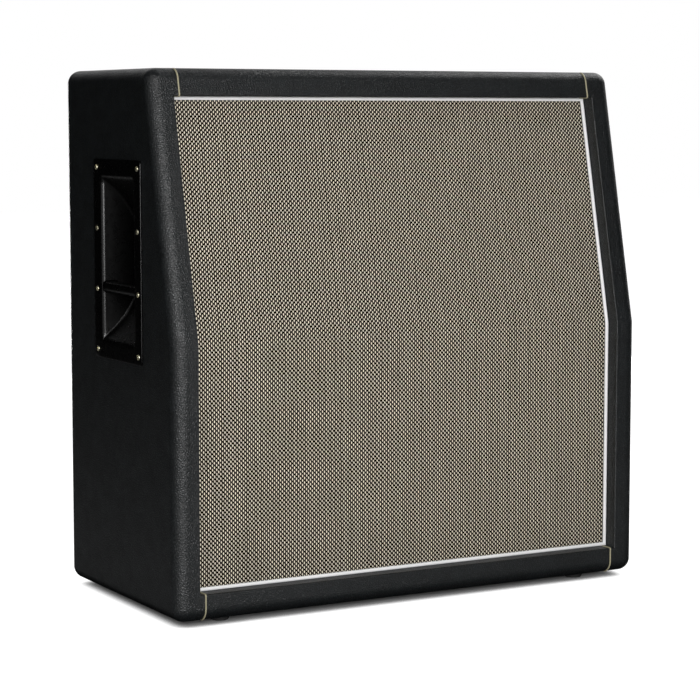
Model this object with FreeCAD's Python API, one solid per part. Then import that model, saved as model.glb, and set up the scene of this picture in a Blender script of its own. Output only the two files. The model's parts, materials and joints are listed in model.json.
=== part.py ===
import FreeCAD, Part
import math
import os
from FreeCAD import Vector

# Guitar speaker cabinet with an angled front, four twelve-inch drivers and a closed back.
# Millimetres. X runs to the right as seen from the front, Y to the rear, Z up.
# The origin lies on the floor under the middle of the cabinet.

# Whole cabinet, measured over its covering
shell_width = 765.0
shell_height = 752.0
shell_depth = 375.0
bend_above_middle = 4.0
slant_setback = 80.0
edge_radius = 19.0

# Shell boards and covering
board = 18.0
vinyl = 1.0
side_border = 37.0
rail_border = 38.0
mouth_radius = 2.0
seam_inboard = 7.5
seam_gap = 0.2

# Baffle, cloth and the beads round them
reveal_depth = 25.0
cloth = 1.0
baffle_board = 18.0
baffle_fit = 1.5
edge_bead_radius = 2.6
edge_bead_bend = 30.0
corner_bead_radius = 1.1
corner_bead_lift = 0.2
bead_clearance = 0.15

# Battens inside the shell
cleat_depth = 20.0
cleat_lap = 20.0
bend_batten_height = 22.0
rear_cleat = 22.0
post_width = 44.0

# Removable rear panel
rear_recess = 5.0
rear_board = 15.0
rear_fit = 1.5
rear_screw_inset = 12.0
rear_screws_across = 5
rear_screws_up = 3
post_screw_spacing = 24.0

# Side handles, moulded with a flange, a bowl and a grip bar
handle_height = 283.0
handle_width = 161.0
handle_corner = 6.0
handle_flange = 2.5
handle_edge = 1.2
handle_mouth_height = 232.0
handle_mouth_width = 110.0
handle_bowl_depth = 66.0
handle_bowl_round = 6.0
handle_wall = 3.0
handle_drop = 267.0
handle_batten_gap = 8.8
handle_fit = 1.0
grip_height = 14.0
grip_depth = 22.0
grip_setback = 2.0
grip_round = 5.0
grip_drop = 40.0
handle_screw_span = 140.6
handle_screw_pitch = 86.5
handle_screw_rows = 4

# Wood screws
screw_shank_radius = 1.8
screw_head_radius = 3.8
screw_head_height = 1.8
screw_clearance = 0.15
handle_screw_length = 18.0
rear_screw_length = 32.0
dish_screw_length = 16.0
foot_screw_length = 17.0

# Rubber feet
foot_height = 8.0
foot_top_radius = 15.0
foot_bottom_radius = 12.5
foot_well_radius = 5.5
foot_well_depth = 4.0
foot_inset_x = 84.5
foot_inset_y = 40.0

# Recessed connector dish in the rear panel and its two sockets
dish_size = 92.0
dish_corner = 8.0
dish_flange = 3.0
dish_mouth = 58.0
dish_depth = 24.0
dish_wall = 2.5
dish_fit = 1.0
dish_rise = 205.0
dish_screw_inset = 8.0
socket_spacing = 28.0
socket_bore_radius = 3.25
socket_bore_length = 31.0
socket_bush_radius = 4.7
socket_bush_stand = 6.0
socket_nut_radius = 7.0
socket_nut_height = 3.0
socket_body_width = 18.0
socket_body_height = 24.0
socket_body_length = 30.0

# Drivers: room round each one in its bay, its opening in the baffle and its bolts
driver_clearance = 1.9
cutout_lip = 2.5
bolt_inset = 6.0
driver_bolts = 4

# Drivers: frame, measured from the back of the baffle
gasket = 3.0
gasket_width = 15.5
frame_flange_width = 15.5
frame_steel = 2.0
frame_ledge_outer = 76.0
frame_ledge_inner = 62.0
frame_ledge_depth = 54.0
frame_base_depth = 70.0
frame_base_inner = 40.0
frame_windows = 6
frame_window_foot = 10.0
frame_window_rim = 11.0
frame_window_angle = 38.0

# Drivers: magnet system
front_plate = 7.0
front_plate_radius = 58.0
magnet_radius = 71.0
magnet_bore = 30.0
magnet_height = 20.0
back_plate = 7.0
back_plate_radius = 62.0
pole_radius = 21.6
gap_radius = 23.5

# Drivers: moving cone and what it hangs on
former_inner = 21.95
former_outer = 22.3
winding_outer = 23.0
winding_length = 12.0
former_reach = 12.0
cone_paper = 0.5
cone_mouth_depth = 8.0
cone_neck_depth = 49.0
cap_radius = 36.0
cap_rise = 14.0
cap_paper = 0.6
glue_gap = 0.15
edge_cloth = 0.8
edge_lap = 5.0
edge_rim_inset = 11.5
edge_roll_clearance = 2.0
edge_roll_span = 11.0
edge_rolls = 2
edge_roll_height = 2.4
spider_cloth = 0.6
spider_rolls = 3
spider_roll_height = 2.4
spider_lap = 8.0

# Driver bolts, terminals and wiring
bolt_radius = 2.5
bolt_head_radius = 5.0
bolt_head_height = 3.0
bolt_nut_radius = 4.6
bolt_nut_height = 4.0
bolt_tail = 2.0
terminal_radial = 10.0
terminal_width = 24.0
terminal_length = 16.0
wire_radius = 2.5
wire_bend_share = 0.45
wire_lead = 55.0
wire_side = 46.0
wire_droop = 24.0

# A cutting tool runs this far past what it cuts
overrun = 2.0

full_turn = 360.0
ACROSS = Vector(1, 0, 0)
BACK = Vector(0, 1, 0)
UP = Vector(0, 0, 1)
FORWARD = -BACK
DOWN = -UP
SIDES = {"left": -1, "right": 1}
MITRED = 1

half_width = shell_width / 2
half_depth = shell_depth / 2
shell_bottom = foot_height
shell_top = shell_bottom + shell_height
bend_rise = shell_height / 2 + bend_above_middle
slant = math.atan2(slant_setback, shell_height - bend_rise)
half_inside = half_width - vinyl - board
inside_bottom = shell_bottom + vinyl + board
inside_top = shell_top - vinyl - board
half_mouth = half_width - side_border
mouth_bottom = shell_bottom + rail_border
mouth_top = shell_top - rail_border
baffle_front = reveal_depth + cloth
baffle_back = baffle_front + baffle_board
rear_face = half_depth - rear_recess
rear_seat = rear_face - vinyl - rear_board

# Clear bays between the battens behind the baffle, one for each driver
baffle_gap = baffle_fit + cloth
half_batten = bend_batten_height / 2
bay_width = half_mouth - baffle_gap - cleat_lap
bay_bottom = mouth_bottom + baffle_gap + half_batten
bay_top = mouth_top - baffle_gap - half_batten
bay_bend = shell_bottom + bend_rise - baffle_back * math.tan(slant / 2)
lower_bay = bay_bend - half_batten - bay_bottom
upper_bay = (bay_top - half_batten - bay_bend) / math.cos(slant)

# Radii of the drivers, whose frames fill the smallest bay
frame_radius = min(bay_width, lower_bay, upper_bay) / 2 - driver_clearance
gasket_inner_radius = frame_radius - gasket_width
driver_cutout_radius = gasket_inner_radius + cutout_lip
driver_bolt_radius = frame_radius - bolt_inset
frame_flange_inner = frame_radius - frame_flange_width
frame_window_inner = frame_ledge_outer + frame_window_foot
frame_window_outer = frame_flange_inner - frame_window_rim
edge_rim_radius = frame_radius - edge_rim_inset
edge_roll_radius = frame_flange_inner - edge_roll_clearance
cone_mouth_radius = edge_roll_radius - edge_roll_span


def bend_height(inset):
    """Height of the bend on the surface that lies `inset` behind the front."""
    return shell_bottom + bend_rise - inset * math.tan(slant / 2)


def front_y(inset, height):
    """Y of the surface that lies `inset` behind the front, at a height."""
    above = max(0, height - bend_height(inset))
    return inset - half_depth + above * math.tan(slant)


def bent_run(inset, low, high):
    """(Y, Z) points up the surface that lies `inset` behind the front."""
    bend = bend_height(inset)
    heights = [low, bend, high] if low < bend < high else [low, high]
    return [(front_y(inset, height), height) for height in heights]


def side_prism(outline, left, right):
    """Extrudes an outline of (Y, Z) points from one X to another."""
    points = [Vector(left, y, z) for y, z in outline]
    face = Part.Face(Part.makePolygon(points + points[:1]))
    return face.extrude(ACROSS * (right - left))


def front_layer(near, far, low, high, left, right):
    """Slab between two surfaces parallel to the bent front."""
    outline = bent_run(near, low, high) + bent_run(far, low, high)[::-1]
    return side_prism(outline, left, right)


def block(low, high):
    """Box between two corners."""
    size = high - low
    return Part.makeBox(size.x, size.y, size.z, low)


def revolved(outline):
    """Solid turned about Z from a closed outline of (radius, height) points."""
    points = [Vector(radius, 0, height) for radius, height in outline]
    face = Part.Face(Part.makePolygon(points + points[:1]))
    return face.revolve(Vector(), UP, full_turn)


def flat_ring(inner, outer, top, under):
    """Flat ring between two radii and two heights."""
    return revolved([(inner, top), (outer, top), (outer, under), (inner, under)])


def wall_outline(run, thickness):
    """Closes an open run of points with a copy of it, set off to its left by a thickness."""
    normals = []
    for (r0, z0), (r1, z1) in zip(run, run[1:]):
        length = math.hypot(r1 - r0, z1 - z0)
        normals.append(((z0 - z1) / length, (r1 - r0) / length))
    offset = []
    for (r, z), before, after in zip(run, normals[:1] + normals, normals + normals[-1:]):
        stretch = thickness / (1 + before[0] * after[0] + before[1] * after[1])
        offset.append((r + (before[0] + after[0]) * stretch, z + (before[1] + after[1]) * stretch))
    return run + offset[::-1]


def moved(shape, placement):
    """Copy of a shape carried from where it stands by a placement."""
    copy = shape.copy()
    copy.Placement = placement.multiply(shape.Placement)
    return copy


def aimed(shape, direction, point):
    """Turns a shape drawn along +Z to point along a direction, then moves it to a point."""
    turn = FreeCAD.Rotation(UP, direction)
    return moved(shape, FreeCAD.Placement(point, turn))


def mirrored(shape):
    """Copies a piece of the right side to the left."""
    return shape.mirror(Vector(), ACROSS)


def rounded_path(points, radii):
    """Wire through points, with a tangent arc at each one that has a radius."""
    edges = []
    last = points[0]
    for index in range(1, len(points)):
        point = points[index]
        radius = radii[index]
        if not radius:
            edges.append(Part.LineSegment(last, point).toShape())
            last = point
            continue
        arrive = (point - points[index - 1]).normalize()
        leave = (points[index + 1] - point).normalize()
        half_turn = arrive.getAngle(leave) / 2
        reach = radius * math.tan(half_turn)
        start = point - arrive * reach
        end = point + leave * reach
        inward = (leave - arrive).normalize()
        middle = point + inward * (radius / math.cos(half_turn) - radius)
        edges.append(Part.LineSegment(last, start).toShape())
        edges.append(Part.Arc(start, middle, end).toShape())
        last = end
    return Part.Wire(edges)


def tube(path, radius):
    """Round rod along a wire, mitred at its square corners."""
    edge = path.Edges[0]
    start = edge.valueAt(edge.FirstParameter)
    direction = edge.tangentAt(edge.FirstParameter)
    section = Part.Wire([Part.makeCircle(radius, start, direction)])
    return path.makePipeShell([section], True, False, MITRED)


def group(shapes):
    """Separate solids kept together in one node."""
    return Part.makeCompound(shapes)


def screw(length):
    """Wood screw with a flat round head, its head resting on Z = 0 and its shank below."""
    outline = [
        (0, screw_head_height),
        (screw_head_radius, screw_head_height),
        (screw_head_radius, 0),
        (screw_shank_radius, 0),
        (screw_shank_radius, -length),
        (0, -length),
    ]
    return revolved(outline)


def screw_hole(length):
    """Tool that cuts the hole for a screw."""
    radius = screw_shank_radius + screw_clearance
    return Part.makeCylinder(radius, length + 2 * overrun, Vector(0, 0, -length - overrun))


def placed_on(shape, places, direction):
    """Copies of one shape at several places, all pointing the same way."""
    return [aimed(shape, direction, place) for place in places]


# Shell: one rounded form gives both the covering and the boards beneath it
def rounded_form(inset):
    """The cabinet's outer form drawn in by `inset`, its outer edges rounded."""
    half = half_width - inset
    outline = bent_run(inset, shell_bottom + inset, shell_top - inset)
    outline.append((half_depth - inset, shell_top - inset))
    outline.append((half_depth - inset, shell_bottom + inset))
    form = side_prism(outline, -half, half)
    bend = Vector(0, front_y(inset, 0), bend_height(inset))
    outer = [edge for edge in form.Edges if edge.CenterOfMass.distanceToPoint(bend) > overrun]
    return form.makeFillet(edge_radius - inset, outer)


def open_form(inset):
    """The rounded form with its front and rear mouths cut and the front one's edges eased."""
    half = half_mouth + inset
    low = mouth_bottom - inset
    high = mouth_top + inset
    front_tool = front_layer(-overrun, baffle_back, low, high, -half, half)
    rear_half = half_inside - vinyl + inset
    rear_low = inside_bottom + vinyl - inset
    rear_high = inside_top - vinyl + inset
    rear_tool = block(
        Vector(-rear_half, rear_seat, rear_low),
        Vector(rear_half, half_depth + overrun, rear_high),
    )
    form = rounded_form(inset).cut(front_tool).cut(rear_tool)
    eased = []
    for edge in form.Edges:
        middle = edge.valueAt((edge.FirstParameter + edge.LastParameter) / 2)
        on_front = abs(middle.y - front_y(inset, middle.z)) < seam_gap
        beside = abs(middle.x) < half + seam_gap
        between = low - seam_gap < middle.z < high + seam_gap
        if on_front and beside and between:
            eased.append(edge)
    return form.makeFillet(mouth_radius - inset, eased)


def carved(form, low, high):
    """The part of a form that lies between two corners."""
    return form.common(block(low, high))


def far_corner(x, z):
    """Corner well behind and outside the cabinet."""
    return Vector(x, half_depth + overrun, z)


def near_corner(x, z):
    """Corner well in front and outside the cabinet."""
    return Vector(x, -half_depth - overrun, z)


def handle_tool():
    """Tool that cuts the handle's hole through the right side."""
    half_y, half_z = handle_hole_halves()
    middle = handle_middle()
    return block(
        Vector(half_inside - overrun, middle.y - half_y, middle.z - half_z),
        Vector(half_width + overrun, middle.y + half_y, middle.z + half_z),
    )


def handle_hole_halves():
    """Half-width and half-height of the hole for the handle's bowl."""
    wall = handle_wall + handle_fit
    return handle_mouth_width / 2 + wall, handle_mouth_height / 2 + wall


def handle_middle():
    """Middle of the handle's flange on the right side, its bowl just behind the front battens."""
    half_y, half_z = handle_hole_halves()
    rise = shell_top - handle_drop
    batten_back = front_y(baffle_back + cleat_depth, rise + half_z)
    return Vector(half_width, batten_back + handle_batten_gap + half_y, rise)


def handle_screw_places():
    """Where the screws of the right handle pass its flange's outer face."""
    middle = handle_middle()
    places = []
    for side in SIDES.values():
        for row in range(handle_screw_rows):
            rise = (row - (handle_screw_rows - 1) / 2) * handle_screw_pitch
            places.append(middle + Vector(handle_flange, side * handle_screw_span / 2, rise))
    return places


def foot_places():
    """Middle of each foot's top, on the underside of the cabinet."""
    x = half_width - foot_inset_x
    y = half_depth - foot_inset_y
    return [Vector(i * x, j * y, shell_bottom) for i in SIDES.values() for j in SIDES.values()]


def foot_screw_seats():
    """Where the foot screws' heads bear."""
    return [place + DOWN * (foot_height - foot_well_depth) for place in foot_places()]


def handle_holes():
    """Tools for the right handle's hole and its screws."""
    holes = placed_on(screw_hole(handle_screw_length), handle_screw_places(), ACROSS)
    return [handle_tool()] + holes


def side_panel(form):
    """Right side board, its front edge bent, with the handle's hole."""
    board_piece = carved(form, near_corner(half_inside, 0), far_corner(half_width, shell_top))
    return board_piece.cut(handle_holes())


def top_panel(form):
    """Top board between the sides."""
    return carved(form, near_corner(-half_inside, inside_top), far_corner(half_inside, shell_top))


def bottom_panel(form):
    """Bottom board between the sides, with holes for the foot screws."""
    piece = carved(form, near_corner(-half_inside, 0), far_corner(half_inside, inside_bottom))
    return piece.cut(placed_on(screw_hole(foot_screw_length), foot_screw_seats(), DOWN))


def front_strip(form, low, high, left, right):
    """Strip of the front frame, carved from the form."""
    return form.common(front_layer(-overrun, baffle_back, low, high, left, right))


def front_stiles(form):
    """Upright strips inside the front edges of the sides."""
    inner = half_mouth + vinyl
    low = mouth_bottom - vinyl
    high = mouth_top + vinyl
    right = front_strip(form, low, high, inner, half_inside)
    return group([mirrored(right), right])


def front_rails(form):
    """Strips across the front, under the top board and over the bottom board."""
    bottom = front_strip(form, inside_bottom, mouth_bottom - vinyl, -half_inside, half_inside)
    top = front_strip(form, mouth_top + vinyl, inside_top, -half_inside, half_inside)
    return group([bottom, top])


def covering():
    """The whole vinyl skin: the covered form less the boards beneath it."""
    return open_form(0).cut(open_form(vinyl))


def seam_x():
    """Distance of the covering's front seams from the middle."""
    return half_mouth - seam_inboard


def corner_bead_path(height_side):
    """Run of the bead on the right, from inside the mouth over the front to the outer edge."""
    lift = corner_bead_lift
    mouth_z = mouth_top if height_side > 0 else mouth_bottom
    outer_z = shell_top if height_side > 0 else shell_bottom
    inner_z = mouth_z - height_side * lift
    rim_z = outer_z + height_side * lift
    start = front_y(reveal_depth - 2 * edge_bead_radius - seam_gap, inner_z)
    run = [
        (start, inner_z),
        (front_y(-lift, inner_z), inner_z),
        (front_y(-lift, rim_z), rim_z),
        (front_y(edge_radius, rim_z) + edge_radius, rim_z),
    ]
    points = [Vector(seam_x(), y, z) for y, z in run]
    return rounded_path(points, [0, mouth_radius + lift, edge_radius + lift, 0])


def corner_channels():
    """Tools for the grooves in which the corner beads lie."""
    radius = corner_bead_radius + bead_clearance
    right = [tube(corner_bead_path(side), radius) for side in SIDES.values()]
    return right + [mirrored(channel) for channel in right]


def corner_piping():
    """The four corner beads, each trimmed level with the top or the underside."""
    keep = block(near_corner(-half_width, shell_bottom), far_corner(half_width, shell_top))
    right = [tube(corner_bead_path(side), corner_bead_radius).common(keep) for side in SIDES.values()]
    return group(right + [mirrored(bead) for bead in right])


def side_cover(skin):
    """Vinyl of the right side, turned over all its edges as far as the seams."""
    piece = carved(skin, near_corner(seam_x() + seam_gap / 2, 0), far_corner(half_width, shell_top))
    return piece.cut(handle_holes())


def top_cover(skin):
    """Vinyl of the top and its front rail, between the seams."""
    half = seam_x() - seam_gap / 2
    return carved(skin, near_corner(-half, mouth_top - overrun), far_corner(half, shell_top))


def bottom_cover(skin):
    """Vinyl of the underside and its front rail, between the seams, with the foot screws' holes."""
    half = seam_x() - seam_gap / 2
    piece = carved(skin, near_corner(-half, 0), far_corner(half, mouth_bottom + overrun))
    return piece.cut(placed_on(screw_hole(foot_screw_length), foot_screw_seats(), DOWN))


# Baffle, cloth and battens
def baffle_slab(near, far, shrink):
    """Slab that fills the front mouth between two depths, with a gap all round."""
    half = half_mouth - shrink
    return front_layer(near, far, mouth_bottom + shrink, mouth_top - shrink, -half, half)


def driver_middle(row, column):
    """Middle of a driver on the back of its baffle."""
    lower_middle = (bay_bottom + bay_bend - half_batten) / 2
    upper_middle = (bay_top + bay_bend + half_batten) / 2
    height = upper_middle if row == "upper" else lower_middle
    return Vector(SIDES[column] * bay_width / 2, front_y(baffle_back, height), height)


def driver_aim(row):
    """Direction in which a driver faces."""
    return Vector(0, -math.cos(slant), math.sin(slant)) if row == "upper" else FORWARD


def driver_placed(shape, row, column):
    """Moves a driver's piece, drawn facing +Z on the baffle's back, to its place."""
    turn = FreeCAD.Rotation(ACROSS, math.degrees(UP.getAngle(driver_aim(row))))
    return moved(shape, FreeCAD.Placement(driver_middle(row, column), turn))


def bolt_places():
    """Places of the bolts round one driver, on the baffle's back."""
    step = 2 * math.pi / driver_bolts
    turns = [(index + 1 / 2) * step for index in range(driver_bolts)]
    outward = [Vector(math.cos(turn), math.sin(turn), 0) for turn in turns]
    return [direction * driver_bolt_radius for direction in outward]


def baffle(row):
    """One baffle board, mitred at the bend, with two driver openings and their bolt holes."""
    slab = baffle_slab(baffle_front, baffle_back, baffle_gap)
    bend_low = bent_run(baffle_front, 0, bend_height(baffle_front))[-1]
    bend_high = bent_run(baffle_back, 0, bend_height(baffle_back))[-1]
    reach = shell_top if row == "upper" else 0
    outline = [bend_low, bend_high, (half_depth, bend_high[1]), (half_depth, reach)]
    outline += [(-half_depth, reach), (-half_depth, bend_low[1])]
    piece = slab.common(side_prism(outline, -half_width, half_width))
    depth = baffle_board + 2 * overrun
    tools = [Part.makeCylinder(driver_cutout_radius, depth, UP * -overrun)]
    tools += [bolt_hole().translated(place) for place in bolt_places()]
    return piece.cut([driver_placed(tool, row, column) for tool in tools for column in SIDES])


def bolt_hole():
    """Tool for a bolt's hole, with the sink for its head at the baffle's front."""
    clear = screw_clearance
    top = baffle_board + overrun
    sink = baffle_board - bolt_head_height - clear
    outline = [
        (0, -overrun),
        (bolt_radius + clear, -overrun),
        (bolt_radius + clear, sink),
        (bolt_head_radius + clear, sink),
        (bolt_head_radius + clear, top),
        (0, top),
    ]
    return revolved(outline)


def grille_cloth():
    """Cloth stretched over both baffles and turned back along their edges."""
    outer = baffle_slab(reveal_depth, baffle_back, baffle_fit)
    return outer.cut(baffle_slab(baffle_front, baffle_back + overrun, baffle_gap))


def edge_piping():
    """White bead lying on the cloth all round the front mouth, its four corners square."""
    inset = reveal_depth - edge_bead_radius - bead_clearance
    gap = edge_bead_radius + bead_clearance
    x = half_mouth - gap
    run = bent_run(inset, mouth_bottom + gap, mouth_top - gap)
    points = [Vector(x, y, z) for y, z in run] + [Vector(-x, y, z) for y, z in run[::-1]]
    ends = [(points[0] + points[-1]) / 2]
    radii = [0, edge_bead_bend, 0]
    path = rounded_path(ends + points + ends, [0] + radii * 2 + [0])
    return tube(path, edge_bead_radius)


def baffle_cleats():
    """Battens behind the baffle: two bent uprights, two across and one along the bend."""
    back = baffle_back + cleat_depth
    half = bay_width
    upright = front_layer(baffle_back, back, inside_bottom, inside_top, half, half_inside)
    low = front_layer(baffle_back, back, inside_bottom, bay_bottom, -half, half)
    high = front_layer(baffle_back, back, bay_top, inside_top, -half, half)
    middle = front_layer(baffle_back, back, bay_bend - half_batten, bay_bend + half_batten, -half, half)
    return group([mirrored(upright), upright, low, high, middle])


def rear_cleats():
    """Battens round the rear mouth, which carry the rear panel."""
    front = rear_seat - rear_cleat
    inner = half_inside - rear_cleat
    upright = block(Vector(inner, front, inside_bottom), Vector(half_inside, rear_seat, inside_top))
    low = block(Vector(-inner, front, inside_bottom), Vector(inner, rear_seat, inside_bottom + rear_cleat))
    high = block(Vector(-inner, front, inside_top - rear_cleat), Vector(inner, rear_seat, inside_top))
    holes = placed_on(screw_hole(rear_screw_length), rear_screw_places(), BACK)
    return group([piece.cut(holes) for piece in (mirrored(upright), upright, low, high)])


def centre_post():
    """Brace from the batten at the bend to the rear panel."""
    half = post_width / 2
    front = front_y(baffle_back + cleat_depth, 0)
    middle = bay_bend
    post = block(Vector(-half, front, middle - half), Vector(half, rear_seat, middle + half))
    tool = front_layer(-overrun, baffle_back + cleat_depth, 0, shell_top, -half, half)
    return post.cut([tool] + placed_on(screw_hole(rear_screw_length), rear_screw_places(), BACK))


# Rear panel
def rear_screw_places():
    """Where the rear panel's screws pass its outer face."""
    x = half_inside - rear_screw_inset
    low = inside_bottom + rear_screw_inset
    high = inside_top - rear_screw_inset
    places = []
    for column in range(rear_screws_across):
        across = -x + 2 * x * column / (rear_screws_across - 1)
        places += [Vector(across, rear_face, low), Vector(across, rear_face, high)]
    for row in range(1, rear_screws_up + 1):
        rise = low + (high - low) * row / (rear_screws_up + 1)
        places += [Vector(-x, rear_face, rise), Vector(x, rear_face, rise)]
    half = post_screw_spacing / 2
    places += [Vector(0, rear_face, bay_bend - half), Vector(0, rear_face, bay_bend + half)]
    return places


def dish_middle():
    """Middle of the connector dish on the rear panel's outer face."""
    return Vector(0, rear_face, shell_bottom + dish_rise)


def dish_screw_places():
    """Where the dish's screws pass its flange."""
    reach = dish_size / 2 - dish_screw_inset
    sides = SIDES.values()
    return [dish_middle() + Vector(i * reach, dish_flange, j * reach) for i in sides for j in sides]


def rear_slab(shrink, front, back):
    """Slab that fills the rear mouth between two depths, with a gap all round."""
    half = half_inside - vinyl - shrink
    low = inside_bottom + vinyl + shrink
    high = inside_top - vinyl - shrink
    return block(Vector(-half, front, low), Vector(half, back, high))


def rear_tools():
    """Tools for the rear panel's screw holes and the dish's hole."""
    tools = placed_on(screw_hole(rear_screw_length), rear_screw_places(), BACK)
    tools += placed_on(screw_hole(dish_screw_length), dish_screw_places(), BACK)
    half = dish_mouth / 2 + dish_wall + dish_fit
    middle = dish_middle()
    low = Vector(-half, rear_seat - overrun, middle.z - half)
    high = Vector(half, half_depth, middle.z + half)
    return tools + [block(low, high)]


def rear_panel():
    """Board that closes the back."""
    return rear_slab(rear_fit + vinyl, rear_seat, rear_face - vinyl).cut(rear_tools())


def rear_cover():
    """Vinyl over the outer face and the edges of the rear panel."""
    skin = rear_slab(rear_fit, rear_seat, rear_face)
    inside = rear_slab(rear_fit + vinyl, rear_seat - overrun, rear_face - vinyl)
    return skin.cut([inside] + rear_tools())


# Connector dish, drawn with its flange's back on Z = 0 and facing +Z
def rounded_square(size, height, base):
    """Square block with rounded corners, standing on a height."""
    half = size / 2
    slab = block(Vector(-half, -half, base), Vector(half, half, base + height))
    uprights = [edge for edge in slab.Edges if abs(edge.tangentAt(edge.FirstParameter).z) > 1 / 2]
    return slab.makeFillet(dish_corner, uprights)


def connector_dish():
    """Moulded dish: a flange and a square bowl whose floor takes the sockets."""
    flange = rounded_square(dish_size, dish_flange, 0)
    bowl = rounded_square(dish_mouth + 2 * dish_wall, dish_depth, -dish_depth)
    hollow = rounded_square(dish_mouth, dish_depth + dish_flange, dish_wall - dish_depth)
    tools = [hollow]
    for side in SIDES.values():
        place = Vector(side * socket_spacing / 2, 0, -dish_depth - overrun)
        radius = socket_bush_radius + screw_clearance
        tools.append(Part.makeCylinder(radius, dish_wall + 2 * overrun, place))
    piece = aimed(flange.fuse(bowl).cut(tools), BACK, dish_middle())
    return piece.cut(placed_on(screw_hole(dish_screw_length), dish_screw_places(), BACK))


def connector_sockets():
    """Two jack sockets: a body behind the dish's floor, a bush through it and a nut."""
    floor = dish_wall - dish_depth
    half_x = socket_body_width / 2
    half_y = socket_body_height / 2
    body_top = -dish_depth
    body = block(Vector(-half_x, -half_y, body_top - socket_body_length), Vector(half_x, half_y, body_top))
    mouth = floor + socket_bush_stand
    bush = Part.makeCylinder(socket_bush_radius, mouth - body_top, UP * body_top)
    nut = Part.makeCylinder(socket_nut_radius, socket_nut_height, UP * floor)
    bore_depth = mouth - socket_bore_length
    bore = Part.makeCylinder(socket_bore_radius, socket_bore_length + overrun, UP * bore_depth)
    socket = body.fuse([bush, nut]).cut(bore).removeSplitter()
    offset = ACROSS * (socket_spacing / 2)
    places = [dish_middle() + offset * side for side in SIDES.values()]
    return group(placed_on(socket, places, BACK))


# Side handle
def handle():
    """Right handle: rounded flange, trough-shaped bowl and a grip bar across its mouth."""
    middle = handle_middle()
    face_x = half_width + handle_flange
    half_mouth_z = handle_mouth_height / 2
    half_mouth_y = handle_mouth_width / 2
    bowl_radius = (half_mouth_z**2 + handle_bowl_depth**2) / (2 * handle_bowl_depth)
    axis_x = face_x + bowl_radius - handle_bowl_depth
    flange = handle_flange_plate(middle)
    outside = Part.makeCylinder(
        bowl_radius + handle_wall,
        handle_mouth_width + 2 * handle_wall,
        Vector(axis_x, middle.y - half_mouth_y - handle_wall, middle.z),
        BACK,
    )
    hollow = Part.makeCylinder(
        bowl_radius, handle_mouth_width, Vector(axis_x, middle.y - half_mouth_y, middle.z), BACK
    )
    hollow = hollow.makeFillet(handle_bowl_round, [edge for edge in hollow.Edges if edge.Closed])
    inside = Vector(face_x - handle_bowl_depth - handle_wall, -half_depth, shell_bottom)
    bowl = carved(outside, inside, far_corner(half_width, shell_top))
    moulding = flange.fuse(bowl).cut(hollow).fuse(grip_bar(middle)).removeSplitter()
    return moulding.cut(placed_on(screw_hole(handle_screw_length), handle_screw_places(), ACROSS))


def handle_flange_plate(middle):
    """Flange with rounded corners and an eased outer rim."""
    half_y = handle_width / 2
    half_z = handle_height / 2
    face_x = half_width + handle_flange
    plate = block(
        Vector(half_width, middle.y - half_y, middle.z - half_z),
        Vector(face_x, middle.y + half_y, middle.z + half_z),
    )
    corners = [edge for edge in plate.Edges if abs(edge.tangentAt(edge.FirstParameter).x) > 1 / 2]
    plate = plate.makeFillet(handle_corner, corners)
    rim = [edge for edge in plate.Edges if abs(edge.CenterOfMass.x - face_x) < seam_gap]
    return plate.makeFillet(handle_edge, rim)


def grip_bar(middle):
    """Bar across the mouth, its long edges rounded for the fingers."""
    outer_x = half_width + handle_flange - grip_setback
    half_y = handle_mouth_width / 2 + handle_wall / 2
    half_z = grip_height / 2
    rise = middle.z - grip_drop
    bar = block(
        Vector(outer_x - grip_depth, middle.y - half_y, rise - half_z),
        Vector(outer_x, middle.y + half_y, rise + half_z),
    )
    long_edges = [edge for edge in bar.Edges if abs(edge.tangentAt(edge.FirstParameter).y) > 1 / 2]
    return bar.makeFillet(grip_round, long_edges)


def handle_screws():
    """Screws of both handles."""
    right = placed_on(screw(handle_screw_length), handle_screw_places(), ACROSS)
    return group(right + [mirrored(piece) for piece in right])


# Feet
def rubber_feet():
    """Tapered feet, each with a well for its screw."""
    bore = screw_shank_radius + screw_clearance
    bearing = foot_well_depth - foot_height
    outline = [
        (bore, 0),
        (foot_top_radius, 0),
        (foot_bottom_radius, -foot_height),
        (foot_well_radius, -foot_height),
        (foot_well_radius, bearing),
        (bore, bearing),
    ]
    foot = revolved(outline)
    return group([foot.translated(place) for place in foot_places()])


# Driver pieces, drawn facing +Z with the baffle's back at Z = 0
def flange_front():
    """Depth of the frame's flange behind the baffle."""
    return -gasket - edge_cloth


def driver_gasket():
    """Ring between the baffle and the cone's edge."""
    return flat_ring(gasket_inner_radius, frame_radius, 0, -gasket).cut(bolt_clearances())


def bolt_clearances():
    """Tools for the bolt holes in the gasket and the frame."""
    radius = bolt_radius + screw_clearance
    reach = gasket + edge_cloth + frame_steel + overrun
    hole = Part.makeCylinder(radius, reach + overrun, UP * -reach)
    return [hole.translated(place) for place in bolt_places()]


def driver_frame():
    """Pressed basket: flange, sloping wall with windows, ledge for the spider and base."""
    front = flange_front()
    run = [
        (frame_base_inner, -frame_base_depth),
        (frame_ledge_inner, -frame_base_depth),
        (frame_ledge_inner, -frame_ledge_depth),
        (frame_ledge_outer, -frame_ledge_depth),
        (frame_flange_inner, front),
        (frame_radius, front),
    ]
    outline = wall_outline(run[::-1], frame_steel)
    basket = revolved(outline)
    window = revolved_sector(
        frame_window_inner, frame_window_outer, -frame_ledge_depth, front - frame_steel, frame_window_angle
    )
    step = full_turn / frame_windows
    windows = [window.rotated(Vector(), UP, (index + 1 / 2) * step) for index in range(frame_windows)]
    return basket.cut(windows + bolt_clearances())


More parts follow.
